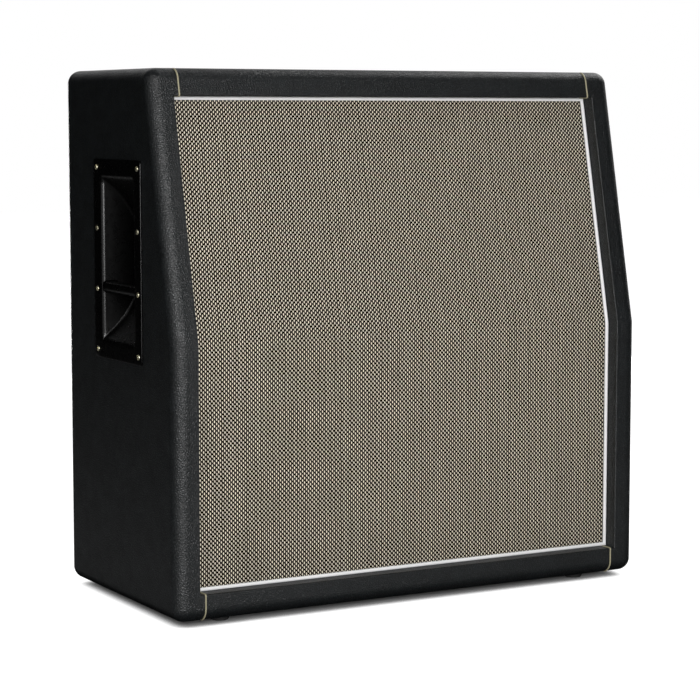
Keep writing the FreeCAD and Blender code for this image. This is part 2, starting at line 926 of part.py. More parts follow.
def revolved_sector(inner, outer, low, high, angle):
    """Sector of a ring, centred on +X."""
    outline = [Vector(inner, 0, low), Vector(outer, 0, low), Vector(outer, 0, high), Vector(inner, 0, high)]
    face = Part.Face(Part.makePolygon(outline + outline[:1]))
    return face.revolve(Vector(), UP, angle).rotated(Vector(), UP, -angle / 2)


def plate_front():
    """Height of the front plate's upper face."""
    return -frame_base_depth - frame_steel


def magnet_system():
    """Front plate, ring magnet and the back plate with its pole."""
    top = plate_front()
    under = top - front_plate
    seat = under - magnet_height
    plate = flat_ring(gap_radius, front_plate_radius, top, under)
    ring = flat_ring(magnet_bore, magnet_radius, under, seat)
    yoke = revolved(
        [
            (0, top),
            (pole_radius, top),
            (pole_radius, seat),
            (back_plate_radius, seat),
            (back_plate_radius, seat - back_plate),
            (0, seat - back_plate),
        ]
    )
    return group([plate, ring, yoke])


def voice_coil():
    """Former with its winding in the magnet's gap."""
    middle = plate_front() - front_plate / 2
    low = middle - winding_length / 2
    high = middle + winding_length / 2
    top = former_reach - cone_neck_depth
    return revolved(
        [
            (former_inner, top),
            (former_outer, top),
            (former_outer, high),
            (winding_outer, high),
            (winding_outer, low),
            (former_inner, low),
        ]
    )


def cone_height(radius):
    """Height of the cone's front surface at a radius."""
    neck = former_outer + glue_gap
    slope = (cone_neck_depth - cone_mouth_depth) / (cone_mouth_radius - neck)
    return slope * (radius - neck) - cone_neck_depth


def cone():
    """Straight paper cone from the former out to its edge."""
    neck = former_outer + glue_gap
    below = -cone_paper
    outline = [
        (neck, cone_height(neck)),
        (cone_mouth_radius, cone_height(cone_mouth_radius)),
        (cone_mouth_radius, cone_height(cone_mouth_radius) + below),
        (neck, cone_height(neck) + below),
    ]
    return revolved(outline)


def dust_cap():
    """Domed cap over the former, glued to the cone."""
    rim = cone_height(cap_radius) + glue_gap
    outer = cap_arc(cap_radius, rim, cap_rise)
    inner = cap_arc(cap_radius - cap_paper, rim, cap_rise - cap_paper)
    edges = [
        outer,
        Part.LineSegment(Vector(0, 0, rim + cap_rise), Vector(0, 0, rim + cap_rise - cap_paper)).toShape(),
        inner,
        Part.LineSegment(Vector(cap_radius - cap_paper, 0, rim), Vector(cap_radius, 0, rim)).toShape(),
    ]
    face = Part.Face(Part.Wire(Part.__sortEdges__(edges)))
    return face.revolve(Vector(), UP, full_turn)


def cap_arc(radius, base, rise):
    """Half of a shallow dome's section, from its rim to its crown."""
    ball = (radius**2 + rise**2) / (2 * rise)
    half_turn = math.asin(radius / ball) / 2
    middle = Vector(ball * math.sin(half_turn), 0, base + rise - ball + ball * math.cos(half_turn))
    return Part.Arc(Vector(radius, 0, base), middle, Vector(0, 0, base + rise)).toShape()


def rolled_run(inner, outer, low, high, rolls, height):
    """Points of a corrugated annulus, from its inner to its outer radius."""
    steps = 2 * rolls
    run = []
    for index in range(1, steps):
        along = index / steps
        swing = height / 2 if index % 2 else -height / 2
        run.append((inner + (outer - inner) * along, low + (high - low) * along + swing))
    return run


def cone_edge():
    """Corrugated surround from the cone's mouth to its rim under the gasket."""
    rim = -gasket - edge_cloth
    inner = cone_mouth_radius - edge_lap
    lap = cone_height(cone_mouth_radius) + glue_gap
    run = [(inner, lap), (cone_mouth_radius, lap)]
    run += rolled_run(cone_mouth_radius, edge_roll_radius, lap, rim, edge_rolls, edge_roll_height)
    run += [(edge_roll_radius, rim), (edge_rim_radius, rim)]
    return revolved(wall_outline(run, edge_cloth))


def spider():
    """Corrugated disc that centres the former on the frame's ledge."""
    level = glue_gap - frame_ledge_depth + frame_steel
    inner = former_outer + glue_gap
    outer = frame_ledge_outer - spider_lap
    run = [(inner, level), (inner + spider_lap, level)]
    run += rolled_run(inner + spider_lap, outer, level, level, spider_rolls, spider_roll_height)
    run += [(outer, level), (frame_ledge_outer - frame_steel, level)]
    return revolved(wall_outline(run, spider_cloth))


DRIVER_PIECES = {
    "frame": driver_frame,
    "magnet": magnet_system,
    "voice_coil": voice_coil,
    "cone": cone,
    "dust_cap": dust_cap,
    "cone_edge": cone_edge,
    "spider": spider,
}


def driver_bolt():
    """Countersunk bolt through the baffle, gasket and frame, with its nut behind."""
    head = baffle_board
    neck = head - bolt_head_height
    seat = flange_front() - frame_steel
    nut = seat - bolt_nut_height
    return revolved(
        [
            (0, head),
            (bolt_head_radius, head),
            (bolt_head_radius, neck),
            (bolt_radius, neck),
            (bolt_radius, seat),
            (bolt_nut_radius, seat),
            (bolt_nut_radius, nut),
            (bolt_radius, nut),
            (bolt_radius, nut - bolt_tail),
            (0, nut - bolt_tail),
        ]
    )


def terminal_block():
    """Terminal strip on the back of the frame's flange, at +X."""
    half = terminal_width / 2
    top = flange_front() - frame_steel
    inner = frame_radius - terminal_radial
    return block(Vector(inner, -half, top - terminal_length), Vector(frame_radius, half, top))


def terminal_end(row, column):
    """Middle of a terminal strip's rear face, towards the cabinet's middle."""
    depth = flange_front() - frame_steel - terminal_length
    inward = -SIDES[column] * (frame_radius - terminal_radial / 2)
    marker = Part.Vertex(inward, 0, depth)
    return driver_placed(marker, row, column).Point


def wire(row, column):
    """Lead from a socket to one driver's terminals."""
    side = SIDES[column]
    end = terminal_end(row, column)
    rise = 1 if row == "upper" else -1
    spread = socket_body_height / 4
    socket_back = -dish_depth - socket_body_length
    start = dish_middle() + Vector(side * socket_spacing / 2, socket_back, rise * spread)
    first = start + FORWARD * (wire_lead / 2)
    last = end - driver_aim(row) * wire_lead
    turn = Vector(side * wire_side, (first.y + last.y) / 2, (first.z + last.z) / 2 + wire_droop)
    points = [start, first, turn, last, end]
    return tube(rounded_path(points, bend_radii(points)), wire_radius)


def bend_radii(points):
    """Largest easy bend at each inner point of a lead."""
    radii = [0]
    for before, point, after in zip(points, points[1:], points[2:]):
        shorter = min((point - before).Length, (after - point).Length)
        half_turn = (point - before).getAngle(after - point) / 2
        radii.append(wire_bend_share * shorter / math.tan(half_turn))
    return radii + [0]


def drivers():
    """Every driver's pieces, named by the driver's place."""
    shapes = {}
    for piece, make in DRIVER_PIECES.items():
        shape = make()
        for row in ("upper", "lower"):
            for column in SIDES:
                shapes[f"{row}_{column}_{piece}"] = driver_placed(shape, row, column)
    return shapes


def on_every_driver(shapes):
    """Copies of small driver pieces at all four drivers."""
    places = [(row, column) for row in ("upper", "lower") for column in SIDES]
    return [driver_placed(shape, row, column) for shape in shapes for row, column in places]


def terminals():
    """Terminal strips, each on the side of its driver towards the cabinet's middle."""
    strip = terminal_block()
    turned = mirrored(strip)
    pieces = []
    for row in ("upper", "lower"):
        pieces.append(driver_placed(strip, row, "left"))
        pieces.append(driver_placed(turned, row, "right"))
    return pieces


def wiring():
    """Leads to the four drivers, with the terminal strips on which they end."""
    leads = [wire(row, column) for row in ("upper", "lower") for column in SIDES]
    return group(leads + terminals())


def shell_nodes():
    """Boards and their covering."""
    wood = open_form(vinyl)
    skin = covering().cut(corner_channels())
    side = side_panel(wood)
    cover = side_cover(skin)
    return {
        "right_side_panel": side,
        "left_side_panel": mirrored(side),
        "top_panel": top_panel(wood),
        "bottom_panel": bottom_panel(wood),
        "front_stiles": front_stiles(wood),
        "front_rails": front_rails(wood),
        "right_vinyl": cover,
        "left_vinyl": mirrored(cover),
        "top_vinyl": top_cover(skin),
        "bottom_vinyl": bottom_cover(skin),
    }


def front_nodes():
    """Baffles, cloth, beads and battens."""
    return {
        "upper_baffle": baffle("upper"),
        "lower_baffle": baffle("lower"),
        "grille_cloth": grille_cloth(),
        "edge_piping": edge_piping(),
        "corner_piping": corner_piping(),
        "baffle_cleats": baffle_cleats(),
        "centre_post": centre_post(),
    }


def rear_nodes():
    """Rear panel with its battens, screws and connector dish."""
    return {
        "rear_panel": rear_panel(),
        "rear_vinyl": rear_cover(),
        "rear_cleats": rear_cleats(),
        "rear_panel_screws": group(placed_on(screw(rear_screw_length), rear_screw_places(), BACK)),
        "connector_dish": connector_dish(),
        "connector_sockets": connector_sockets(),
        "dish_screws": group(placed_on(screw(dish_screw_length), dish_screw_places(), BACK)),
    }


def fitting_nodes():
    """Handles, feet and the drivers' shared small pieces."""
    right_handle = handle()
    bolts = [driver_bolt().translated(place) for place in bolt_places()]
    return {
        "right_handle": right_handle,
        "left_handle": mirrored(right_handle),
        "handle_screws": handle_screws(),
        "rubber_feet": rubber_feet(),
        "foot_screws": group(placed_on(screw(foot_screw_length), foot_screw_seats(), DOWN)),
        "driver_gaskets": group(on_every_driver([driver_gasket()])),
        "driver_bolts": group(on_every_driver(bolts)),
        "driver_wiring": wiring(),
    }


def main():
    """Builds every piece and writes it to its own file."""
    os.makedirs("parts", exist_ok=True)
    nodes = {**shell_nodes(), **front_nodes(), **rear_nodes(), **fitting_nodes(), **drivers()}
    for name, shape in nodes.items():
        shape.exportStep(f"parts/{name}.step")


main()
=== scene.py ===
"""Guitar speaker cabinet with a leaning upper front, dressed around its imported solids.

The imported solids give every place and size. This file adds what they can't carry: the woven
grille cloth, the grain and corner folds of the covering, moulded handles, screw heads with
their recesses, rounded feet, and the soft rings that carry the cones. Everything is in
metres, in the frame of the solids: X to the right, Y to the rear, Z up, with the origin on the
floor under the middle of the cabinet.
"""

import json
import logging
from dataclasses import dataclass, field
from enum import Enum
from math import cos, pi, radians, sin, sqrt
from random import Random
from typing import Iterable, Sequence

import bmesh
import bpy
from bmesh.types import BMesh, BMEdge, BMFace, BMVert
from mathutils import Matrix, Vector


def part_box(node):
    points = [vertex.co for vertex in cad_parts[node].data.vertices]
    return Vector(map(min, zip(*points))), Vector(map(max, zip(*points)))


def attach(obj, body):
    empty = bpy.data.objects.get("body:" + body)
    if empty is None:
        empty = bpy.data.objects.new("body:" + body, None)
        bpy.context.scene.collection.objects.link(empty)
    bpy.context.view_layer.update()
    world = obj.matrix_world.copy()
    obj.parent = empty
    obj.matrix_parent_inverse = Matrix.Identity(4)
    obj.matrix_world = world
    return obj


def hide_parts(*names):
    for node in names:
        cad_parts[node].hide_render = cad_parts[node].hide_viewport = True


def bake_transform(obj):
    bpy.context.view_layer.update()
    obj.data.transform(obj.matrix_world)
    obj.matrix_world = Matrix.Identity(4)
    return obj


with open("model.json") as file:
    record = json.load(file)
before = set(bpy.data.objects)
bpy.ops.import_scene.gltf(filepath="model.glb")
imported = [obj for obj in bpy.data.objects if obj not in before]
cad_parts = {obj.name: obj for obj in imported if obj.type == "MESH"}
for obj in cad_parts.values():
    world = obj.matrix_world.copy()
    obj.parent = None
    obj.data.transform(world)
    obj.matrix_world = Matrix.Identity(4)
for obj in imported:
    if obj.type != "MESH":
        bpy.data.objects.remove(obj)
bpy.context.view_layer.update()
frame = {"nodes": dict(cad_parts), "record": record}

LOG = logging.getLogger("cabinet")

MM = 0.001
MERGE = 0.001 * MM
SMOOTH_ALL = 180.0
CABINET = "cabinet"
FORWARD = Vector((0, -1, 0))

Triple = tuple[float, float, float]
Pair = tuple[float, float]
Socket = bpy.types.NodeSocket


class Side(Enum):
    """Which side wall a piece belongs to, as the sign of its X."""

    LEFT = -1
    RIGHT = 1

    @property
    def word(self) -> str:
        """The side's name as the nodes spell it."""
        return self.name.lower()


class Panel(Enum):
    """The two planes of the front."""

    LOWER = "lower"
    UPPER = "upper"


class Thread(Enum):
    """The two ways that yarn runs in the cloth."""

    WARP = "warp"
    WEFT = "weft"


class Recess(Enum):
    """What a driver bit fits in a screw head."""

    SLOT = "slot"
    CROSS = "cross"


# Finishes


class Nodes:
    """Node tree, with the few nodes that the materials and the surround share."""

    def __init__(self, tree: bpy.types.NodeTree) -> None:
        """Takes the tree."""
        self.tree = tree

    def node(self, kind: str, **settings: object) -> bpy.types.Node:
        """Adds a node.

        Args:
            kind: Type name of the node.
            **settings: Properties to set on it.

        Returns:
            The new node.
        """
        made = self.tree.nodes.new(kind)
        for name, value in settings.items():
            setattr(made, name, value)
        return made

    def link(self, source: Socket, target: Socket) -> None:
        """Joins an output to an input."""
        self.tree.links.new(source, target)

    def math(self, operation: str, first: Socket, second: Socket | float) -> Socket:
        """Works out a value from two.

        Args:
            operation: Type name of the operation.
            first: First value.
            second: Second value, or a constant.

        Returns:
            The result.
        """
        made = self.node("ShaderNodeMath", operation=operation)
        self.link(first, made.inputs[0])
        if isinstance(second, Socket):
            self.link(second, made.inputs[1])
        else:
            made.inputs[1].default_value = second
        return made.outputs["Value"]

    def fitted(self, value: Socket, low: float = 0.0, high: float = 1.0, start: float = 0.0,
               end: float = 1.0, kind: str = "LINEAR") -> Socket:
        """Moves a value from one range to another.

        Args:
            value: Value to move.
            low: What the start becomes.
            high: What the end becomes.
            start: Lowest value that counts.
            end: Highest value that counts.
            kind: Type name of the way between them.

        Returns:
            The moved value.
        """
        made = self.node("ShaderNodeMapRange", interpolation_type=kind)
        for name, number in (("From Min", start), ("From Max", end),
                             ("To Min", low), ("To Max", high)):
            made.inputs[name].default_value = number
        self.link(value, made.inputs["Value"])
        return made.outputs["Result"]

    def by_ray(self, low: float, high: float) -> Socket:
        """Strength that differs for rays from the camera, a mirror or glass.

        Args:
            low: Strength for other rays.
            high: Strength for those rays.

        Returns:
            The strength.
        """
        path = self.node("ShaderNodeLightPath").outputs
        found = self.math("MAXIMUM", path["Is Camera Ray"], path["Is Glossy Ray"])
        return self.fitted(self.math("MAXIMUM", found, path["Is Transmission Ray"]), low, high)


class Surface(Nodes):
    """Node tree of one material, with a shader and Object coordinates."""

    def __init__(self, name: str) -> None:
        """Starts the material.

        Args:
            name: Name of the material.
        """
        self.material = bpy.data.materials.new(name)
        self.material.use_nodes = True
        super().__init__(self.material.node_tree)
        self.tree.nodes.clear()
        output = self.node("ShaderNodeOutputMaterial")
        shader = self.node("ShaderNodeBsdfPrincipled")
        self.link(shader.outputs["BSDF"], output.inputs["Surface"])
        self.inputs = shader.inputs
        self.place = self.node("ShaderNodeTexCoord").outputs["Object"]

    def dull(self, grey: float, rough: float) -> None:
        """Makes the shader grey and without sheen.

        Args:
            grey: Level of the grey.
            rough: Roughness.
        """
        self.inputs["Base Color"].default_value = (grey, grey, grey, 1)
        self.inputs["Roughness"].default_value = rough
        self.inputs["Specular IOR Level"].default_value = 0.0

    def stretched(self, stretch: Triple) -> Socket:
        """Stretches the Object coordinates.

        Args:
            stretch: Scale along each axis.

        Returns:
            The mapped coordinates.
        """
        mapping = self.node("ShaderNodeMapping")
        mapping.inputs["Scale"].default_value = stretch
        self.link(self.place, mapping.inputs["Vector"])
        return mapping.outputs["Vector"]

    def noise(self, scale: float, detail: float = 3.0, rough: float = 0.55,
              place: Socket | None = None) -> Socket:
        """Draws a cloudy pattern.

        Args:
            scale: Cells per metre.
            detail: Number of finer layers.
            rough: Weight of the finer layers.
            place: Coordinates to use instead of the piece's own.

        Returns:
            A factor from 0 to 1.
        """
        made = self.node("ShaderNodeTexNoise")
        for name, number in (("Scale", scale), ("Detail", detail), ("Roughness", rough)):
            made.inputs[name].default_value = number
        self.link(place or self.place, made.inputs["Vector"])
        return made.outputs["Fac"]

    def cells(self, scale: float, place: Socket) -> Socket:
        """Draws a pattern of cells.

        Args:
            scale: Cells per metre.
            place: Coordinates of the pattern.

        Returns:
            The distance to a cell's edge, in cells.
        """
        made = self.node("ShaderNodeTexVoronoi", feature="DISTANCE_TO_EDGE")
        made.inputs["Scale"].default_value = scale
        self.link(place, made.inputs["Vector"])
        return made.outputs["Distance"]

    def swayed(self, scale: float, amount: float) -> Socket:
        """Pushes the Object coordinates about by a cloudy pattern.

        Args:
            scale: Cells of the cloud per metre.
            amount: Largest push in metres, about.

        Returns:
            The pushed coordinates.
        """
        cloud = self.node("ShaderNodeTexNoise")
        cloud.inputs["Scale"].default_value = scale
        self.link(self.place, cloud.inputs["Vector"])
        push = self.node("ShaderNodeVectorMath", operation="MULTIPLY_ADD")
        push.inputs[1].default_value = (amount, amount, amount)
        self.link(cloud.outputs["Color"], push.inputs[0])
        self.link(self.place, push.inputs[2])
        return push.outputs["Vector"]

    def blend(self, factor: Socket, dark: Triple, light: Triple) -> Socket:
        """Mixes two colours by a pattern.

        Args:
            factor: Pattern from 0 to 1.
            dark: Colour at 0.
            light: Colour at 1.

        Returns:
            The colour.
        """
        made = self.node("ShaderNodeValToRGB")
        for element, colour in zip(made.color_ramp.elements, (dark, light)):
            element.color = (*colour, 1)
        self.link(factor, made.inputs["Fac"])
        return made.outputs["Color"]

    def bump(self, height: Socket, distance: float, strength: float = 1.0,
             under: Socket | None = None) -> Socket:
        """Raises the surface.

        Args:
            height: Pattern from 0 to 1.
            distance: Height of the pattern in metres.
            strength: Share of the relief that shows.
            under: Normal of a coarser relief below it.

        Returns:
            The normal.
        """
        made = self.node("ShaderNodeBump")
        made.inputs["Distance"].default_value = distance
        made.inputs["Strength"].default_value = strength
        self.link(height, made.inputs["Height"])
        if under is not None:
            self.link(under, made.inputs["Normal"])
        return made.outputs["Normal"]


@dataclass(frozen=True)
class Finish:
    """Mottled, finely rough surface: the base of the other finishes.

    Attributes:
        slot: The record's material slot, or a name of its own.
        colour: Middle colour, linear.
        spread: Share by which the colour swings.
        smooth: Lowest roughness.
        rough: Highest roughness.
        mottle: Colour clouds per metre.
        tooth: Cells of the fine relief per metre.
        relief: Height of the fine relief in metres.
        metallic: 1 for bare metal.
        specular: Specular level.
        wear: Clouds of wear to each colour cloud.
        wear_range: Values of those clouds that the roughness runs between.
    """

    slot: str
    colour: Triple
    spread: float = 0.15
    smooth: float = 0.4
    rough: float = 0.6
    mottle: float = 60.0
    tooth: float = 1500.0
    relief: float = 0.03 * MM
    metallic: float = 0.0
    specular: float = 0.5
    wear: float = 2.3
    wear_range: Pair = (0.25, 0.75)

    def shades(self) -> tuple[Triple, Triple]:
        """The darkest and lightest colour."""
        return (tuple(c * (1 - self.spread) for c in self.colour),
                tuple(min(1.0, c * (1 + self.spread)) for c in self.colour))

    def tone(self, surface: Surface) -> Socket:
        """Pattern that the colour follows."""
        return surface.noise(self.mottle)

    def normal(self, surface: Surface) -> Socket:
        """Relief of the finish."""
        return surface.bump(surface.noise(self.tooth), self.relief)

    def patterns(self, surface: Surface) -> tuple[Socket, Socket, Socket]:
        """Draws the patterns of the finish.

        Args:
            surface: Node tree to draw in.

        Returns:
            The factors of colour and roughness, and the normal.
        """
        clouds = surface.noise(self.mottle * self.wear, detail=4.0)
        start, end = self.wear_range
        wear = surface.fitted(clouds, start=start, end=end)
        return self.tone(surface), wear, self.normal(surface)

    def material(self) -> bpy.types.Material:
        """Builds the finish.

        Returns:
            Its material.
        """
        surface = Surface(self.slot)
        surface.inputs["Metallic"].default_value = self.metallic
        surface.inputs["Specular IOR Level"].default_value = self.specular
        tone, wear, normal = self.patterns(surface)
        surface.link(surface.blend(tone, *self.shades()), surface.inputs["Base Color"])
        surface.link(surface.fitted(wear, self.smooth, self.rough), surface.inputs["Roughness"])
        surface.link(normal, surface.inputs["Normal"])
        return surface.material


@dataclass(frozen=True)
class Grained(Finish):
    """Pebbled covering with creases between its pebbles, with painted shade in the creases and
    painted glints on the pebble tops.

    Attributes:
        pebbles: Pebbles per metre.
        pebble_height: Height of a pebble in metres.
        pebble_slope: Distance from its edge at which a pebble is full, in cells.
        clumps: Clumps of pebbles per metre.
        clump_height: Height of a clump in metres.
        sways: Cells per metre of the cloud that bends the creases.
        sway: How far it bends them, in metres.
        cloud: Weight of the colour clouds beside the pebbles.
        cloud_range: Values of those clouds that count.
        tooth_share: Share of the fine relief that shows.
    """

    pebbles: float = 340.0
    pebble_height: float = 0.38 * MM
    pebble_slope: float = 0.42
    clumps: float = 420.0
    clump_height: float = 0.42 * MM
    sways: float = 300.0
    sway: float = 2.0 * MM
    cloud: float = 0.4
    cloud_range: Pair = (0.3, 0.7)
    tooth_share: float = 0.8

    def patterns(self, surface: Surface) -> tuple[Socket, Socket, Socket]:
        """Draws pebbles whose colour is darker in their creases, as painted shade, and lighter on
        their tops, as painted glints; the creases are also rougher.

        Args:
            surface: Node tree to draw in.

        Returns:
            The factors of colour and roughness, and the normal.
        """
        edges = surface.cells(self.pebbles, surface.swayed(self.sways, self.sway))
        pebble = surface.fitted(edges, end=self.pebble_slope)
        cloud = surface.fitted(surface.noise(self.mottle), 0.0, self.cloud, *self.cloud_range)
        both = surface.math("ADD", pebble, cloud)
        full = 1 + self.cloud
        # The colour follows the pebbles: painted shade in the creases and painted glints on the
        # tops, over random colour clouds.
        tone = surface.fitted(both, end=full)
        wear = surface.fitted(both, 1.0, 0.0, end=full)
        coarse = surface.bump(surface.noise(self.clumps, detail=2.0), self.clump_height)
        coarse = surface.bump(pebble, self.pebble_height, under=coarse)
        fine = surface.noise(self.tooth, detail=2.0)
        return tone, wear, surface.bump(fine, self.relief, self.tooth_share, coarse)


@dataclass(frozen=True)
class Timber(Finish):
    """Wood with its grain along one axis.

    Attributes:
        along: Stretch of the grain along X, Y and Z.
    """

    along: Triple = (1.0, 9.0, 9.0)

    def tone(self, surface: Surface) -> Socket:
        """Long streaks."""
        return surface.noise(self.mottle, detail=6.0, rough=0.65,
                             place=surface.stretched(self.along))


@dataclass(frozen=True)
class Brushed(Finish):
    """Metal with fine lines along one axis.

    Attributes:
        along: Stretch of the lines along X, Y and Z.
        line_share: Share of the lines' relief that shows.
    """

    along: Triple = (1.0, 12.0, 12.0)
    line_share: float = 0.6

    def normal(self, surface: Surface) -> Socket:
        """Fine lines."""
        lines = surface.noise(self.tooth, detail=2.0, place=surface.stretched(self.along))
        return surface.bump(lines, self.relief, self.line_share)


@dataclass(frozen=True)
class Yarn(Finish):
    """Spun thread with its fibres along one axis.

    Attributes:
        along: Stretch of the fibres along X, Y and Z.
        thread: Stretch of the changes from thread to thread along X, Y and Z.
        fibres: Fibres of different colour per metre.
        tone_range: Sum of fibres and threads that the colour runs between.
        fibre_share: Share of the fibres' relief that shows.
    """

    along: Triple = (6.0, 6.0, 1.0)
    thread: Triple = (1.0, 1.0, 0.05)
    fibres: float = 900.0
    tone_range: Pair = (0.55, 1.45)
    fibre_share: float = 0.9

    def tone(self, surface: Surface) -> Socket:
        """Draws fibres over slow changes from thread to thread.

        Args:
            surface: Node tree to draw in.

        Returns:
            The factor of the colour.
        """
        fibres = surface.noise(self.fibres, detail=2.0, place=surface.stretched(self.along))
        threads = surface.noise(self.mottle, detail=2.0, place=surface.stretched(self.thread))
        start, end = self.tone_range
        return surface.fitted(surface.math("ADD", fibres, threads), start=start, end=end)

    def normal(self, surface: Surface) -> Socket:
        """Fibres."""
        fibres = surface.noise(self.tooth, detail=2.0, place=surface.stretched(self.along))
        return surface.bump(fibres, self.relief, self.fibre_share)


class Palette:
    """Materials of the cabinet by slot, each made once."""

    def __init__(self, finishes: Iterable[Finish]) -> None:
        """Takes the finishes.

        Args:
            finishes: One finish for each slot.
        """
        self.finishes = {finish.slot: finish for finish in finishes}
        self.made: dict[str, bpy.types.Material] = {}

    def __getitem__(self, slot: str) -> bpy.types.Material:
        """Finds the slot's material, and makes it the first time.

        Args:
            slot: Name of the slot.

        Returns:
            The material.
        """
        if slot not in self.made:
            self.made[slot] = self.finishes[slot].material()
        return self.made[slot]

    def dress_solids(self) -> None:
        """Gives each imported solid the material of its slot."""
        for subpart in frame["record"]["subparts"]:
            mesh = frame["nodes"][subpart["node"]].data
            mesh.materials.clear()
            mesh.materials.append(self[subpart["material_slot"]])
            LOG.info("solid %s in %s", subpart["node"], subpart["material_slot"])


FINISHES = (
    # The covering's wide colour spread is partly painted: glints on the pebble tops and shade in
    # their creases.
    Grained("black_vinyl", (0.0086, 0.0104, 0.0113), spread=0.8, smooth=0.32, rough=0.50,
            mottle=40.0, tooth=1800.0, relief=0.05 * MM, specular=0.52),
    Yarn("grille_weave", (0.79, 0.73, 0.605), spread=0.2, smooth=0.7, rough=0.85,
         mottle=180.0, tooth=1600.0, relief=0.12 * MM, specular=0.25),
    Yarn("dark_yarn", (0.0115, 0.0085, 0.004), spread=0.35, smooth=0.7, rough=0.9,
         mottle=180.0, tooth=1600.0, relief=0.12 * MM, specular=0.1,
         along=(1.0, 6.0, 6.0), thread=(0.05, 1.0, 1.0)),
    Finish("white_bead", (0.93, 0.93, 0.94), spread=0.03, smooth=0.3, rough=0.42,
           mottle=35.0, relief=0.01 * MM),
    Finish("gold_bead", (0.38, 0.35, 0.23), spread=0.12, smooth=0.25, rough=0.4,
           mottle=90.0, relief=0.01 * MM),
    Finish("handle_plastic", (0.0012, 0.0012, 0.0012), spread=0.2, smooth=0.25, rough=0.32,
           mottle=45.0, tooth=2200.0, relief=0.004 * MM, specular=0.34),
    Brushed("brass_screw", (1.0, 0.90, 0.66), spread=0.12, smooth=0.36, rough=0.55,
            mottle=300.0, relief=0.015 * MM, metallic=1.0),
    Brushed("black_screw", (0.03, 0.03, 0.031), spread=0.3, smooth=0.3, rough=0.5,
            mottle=300.0, relief=0.015 * MM, metallic=0.6),
    Finish("foot_rubber", (0.018, 0.018, 0.018), spread=0.3, smooth=0.6, rough=0.8,
           mottle=120.0, relief=0.05 * MM),
    Brushed("plated_steel", (0.62, 0.62, 0.60), spread=0.1, smooth=0.2, rough=0.4,
            mottle=200.0, relief=0.015 * MM, metallic=1.0),
    Finish("dish_plastic", (0.014, 0.014, 0.014), spread=0.2, smooth=0.32, rough=0.5,
           mottle=60.0, tooth=1800.0, relief=0.04 * MM),
    Brushed("socket_metal", (0.70, 0.69, 0.66), spread=0.08, smooth=0.18, rough=0.34,
            mottle=250.0, relief=0.01 * MM, metallic=1.0),
    Timber("plywood", (0.52, 0.37, 0.21), spread=0.3, smooth=0.5, rough=0.7, mottle=28.0,
           tooth=900.0, relief=0.08 * MM, along=(6.0, 6.0, 0.6)),
    Timber("batten_wood", (0.58, 0.43, 0.26), spread=0.25, smooth=0.55, rough=0.75,
           mottle=30.0, tooth=900.0, relief=0.1 * MM, along=(6.0, 6.0, 0.5)),
    Finish("gasket_card", (0.04, 0.037, 0.033), spread=0.25, smooth=0.8, rough=0.95,
           mottle=150.0, tooth=800.0, relief=0.1 * MM),
    Finish("wire_sleeve", (0.022, 0.022, 0.022), spread=0.2, smooth=0.35, rough=0.5,
           mottle=200.0),
    Finish("frame_steel", (0.04, 0.04, 0.043), spread=0.25, smooth=0.3, rough=0.5,
           mottle=70.0, relief=0.05 * MM),
    Finish("magnet_iron", (0.13, 0.13, 0.137), spread=0.25, smooth=0.5, rough=0.75,
           mottle=80.0, tooth=700.0, relief=0.1 * MM, metallic=0.5),
    Brushed("coil_wire", (0.58, 0.30, 0.16), spread=0.2, smooth=0.25, rough=0.4,
            mottle=200.0, tooth=4000.0, metallic=1.0, along=(1.0, 14.0, 1.0)),
    Finish("cone_paper", (0.035, 0.034, 0.032), spread=0.35, smooth=0.8, rough=0.95,
           mottle=110.0, tooth=700.0, relief=0.15 * MM),
    Yarn("suspension_cloth", (0.09, 0.08, 0.055), spread=0.3, smooth=0.8, rough=0.95,
         mottle=200.0, tooth=1200.0, relief=0.15 * MM),
)


# Mesh helpers


def verts_in(geometry: Iterable) -> list[BMVert]:
    """Vertices among the elements that an operator made."""
    return [element for element in geometry if isinstance(element, BMVert)]


def edges_in(geometry: Iterable) -> list[BMEdge]:
    """Edges among the elements that an operator made."""
    return [element for element in geometry if isinstance(element, BMEdge)]


def chain(bm: BMesh, points: Iterable[Vector]) -> list[BMEdge]:
    """Draws an open line of edges.

    Args:
        bm: Mesh to draw in.
        points: Corners of the line.

    Returns:
        Its edges.
    """
    verts = [bm.verts.new(point) for point in points]
    return [bm.edges.new(pair) for pair in zip(verts, verts[1:])]


def closed_up(bm: BMesh) -> BMesh:
    """Merges doubles and turns the faces outwards.

    Args:
        bm: Mesh to close.

    Returns:
        The same mesh.
    """
    bmesh.ops.remove_doubles(bm, verts=bm.verts, dist=MERGE)
    bmesh.ops.recalc_face_normals(bm, faces=bm.faces)
    return bm


def facing(bm: BMesh, out: Vector) -> BMesh:
    """Closes up an open surface and turns most of it one way.

    Args:
        bm: Mesh to turn.
        out: Where it has to face.

    Returns:
        The same mesh.
    """
    closed_up(bm)
    if sum(face.normal.dot(out) * face.calc_area() for face in bm.faces) < 0:
        bmesh.ops.reverse_faces(bm, faces=bm.faces)
    return bm


def cut_across(bm: BMesh, point: Sequence[float], normal: Sequence[float]) -> None:
    """Adds the edges where a plane crosses a mesh."""
    bmesh.ops.bisect_plane(bm, geom=[*bm.verts, *bm.edges, *bm.faces], plane_co=point,
                           plane_no=normal)


def lathe(profile: Iterable[Pair], steps: int) -> BMesh:
    """Spins a profile round the Z axis.

    Args:
        profile: Radius and height of each corner.
        steps: Faces round the axis.

    Returns:
        The turned form.
    """
    bm = bmesh.new()
    line = chain(bm, [Vector((radius, 0, height)) for radius, height in profile])
    bmesh.ops.spin(bm, geom=[*bm.verts, *line], cent=(0, 0, 0), axis=(0, 0, 1),
                   angle=2 * pi, steps=steps, use_merge=True)
    return closed_up(bm)


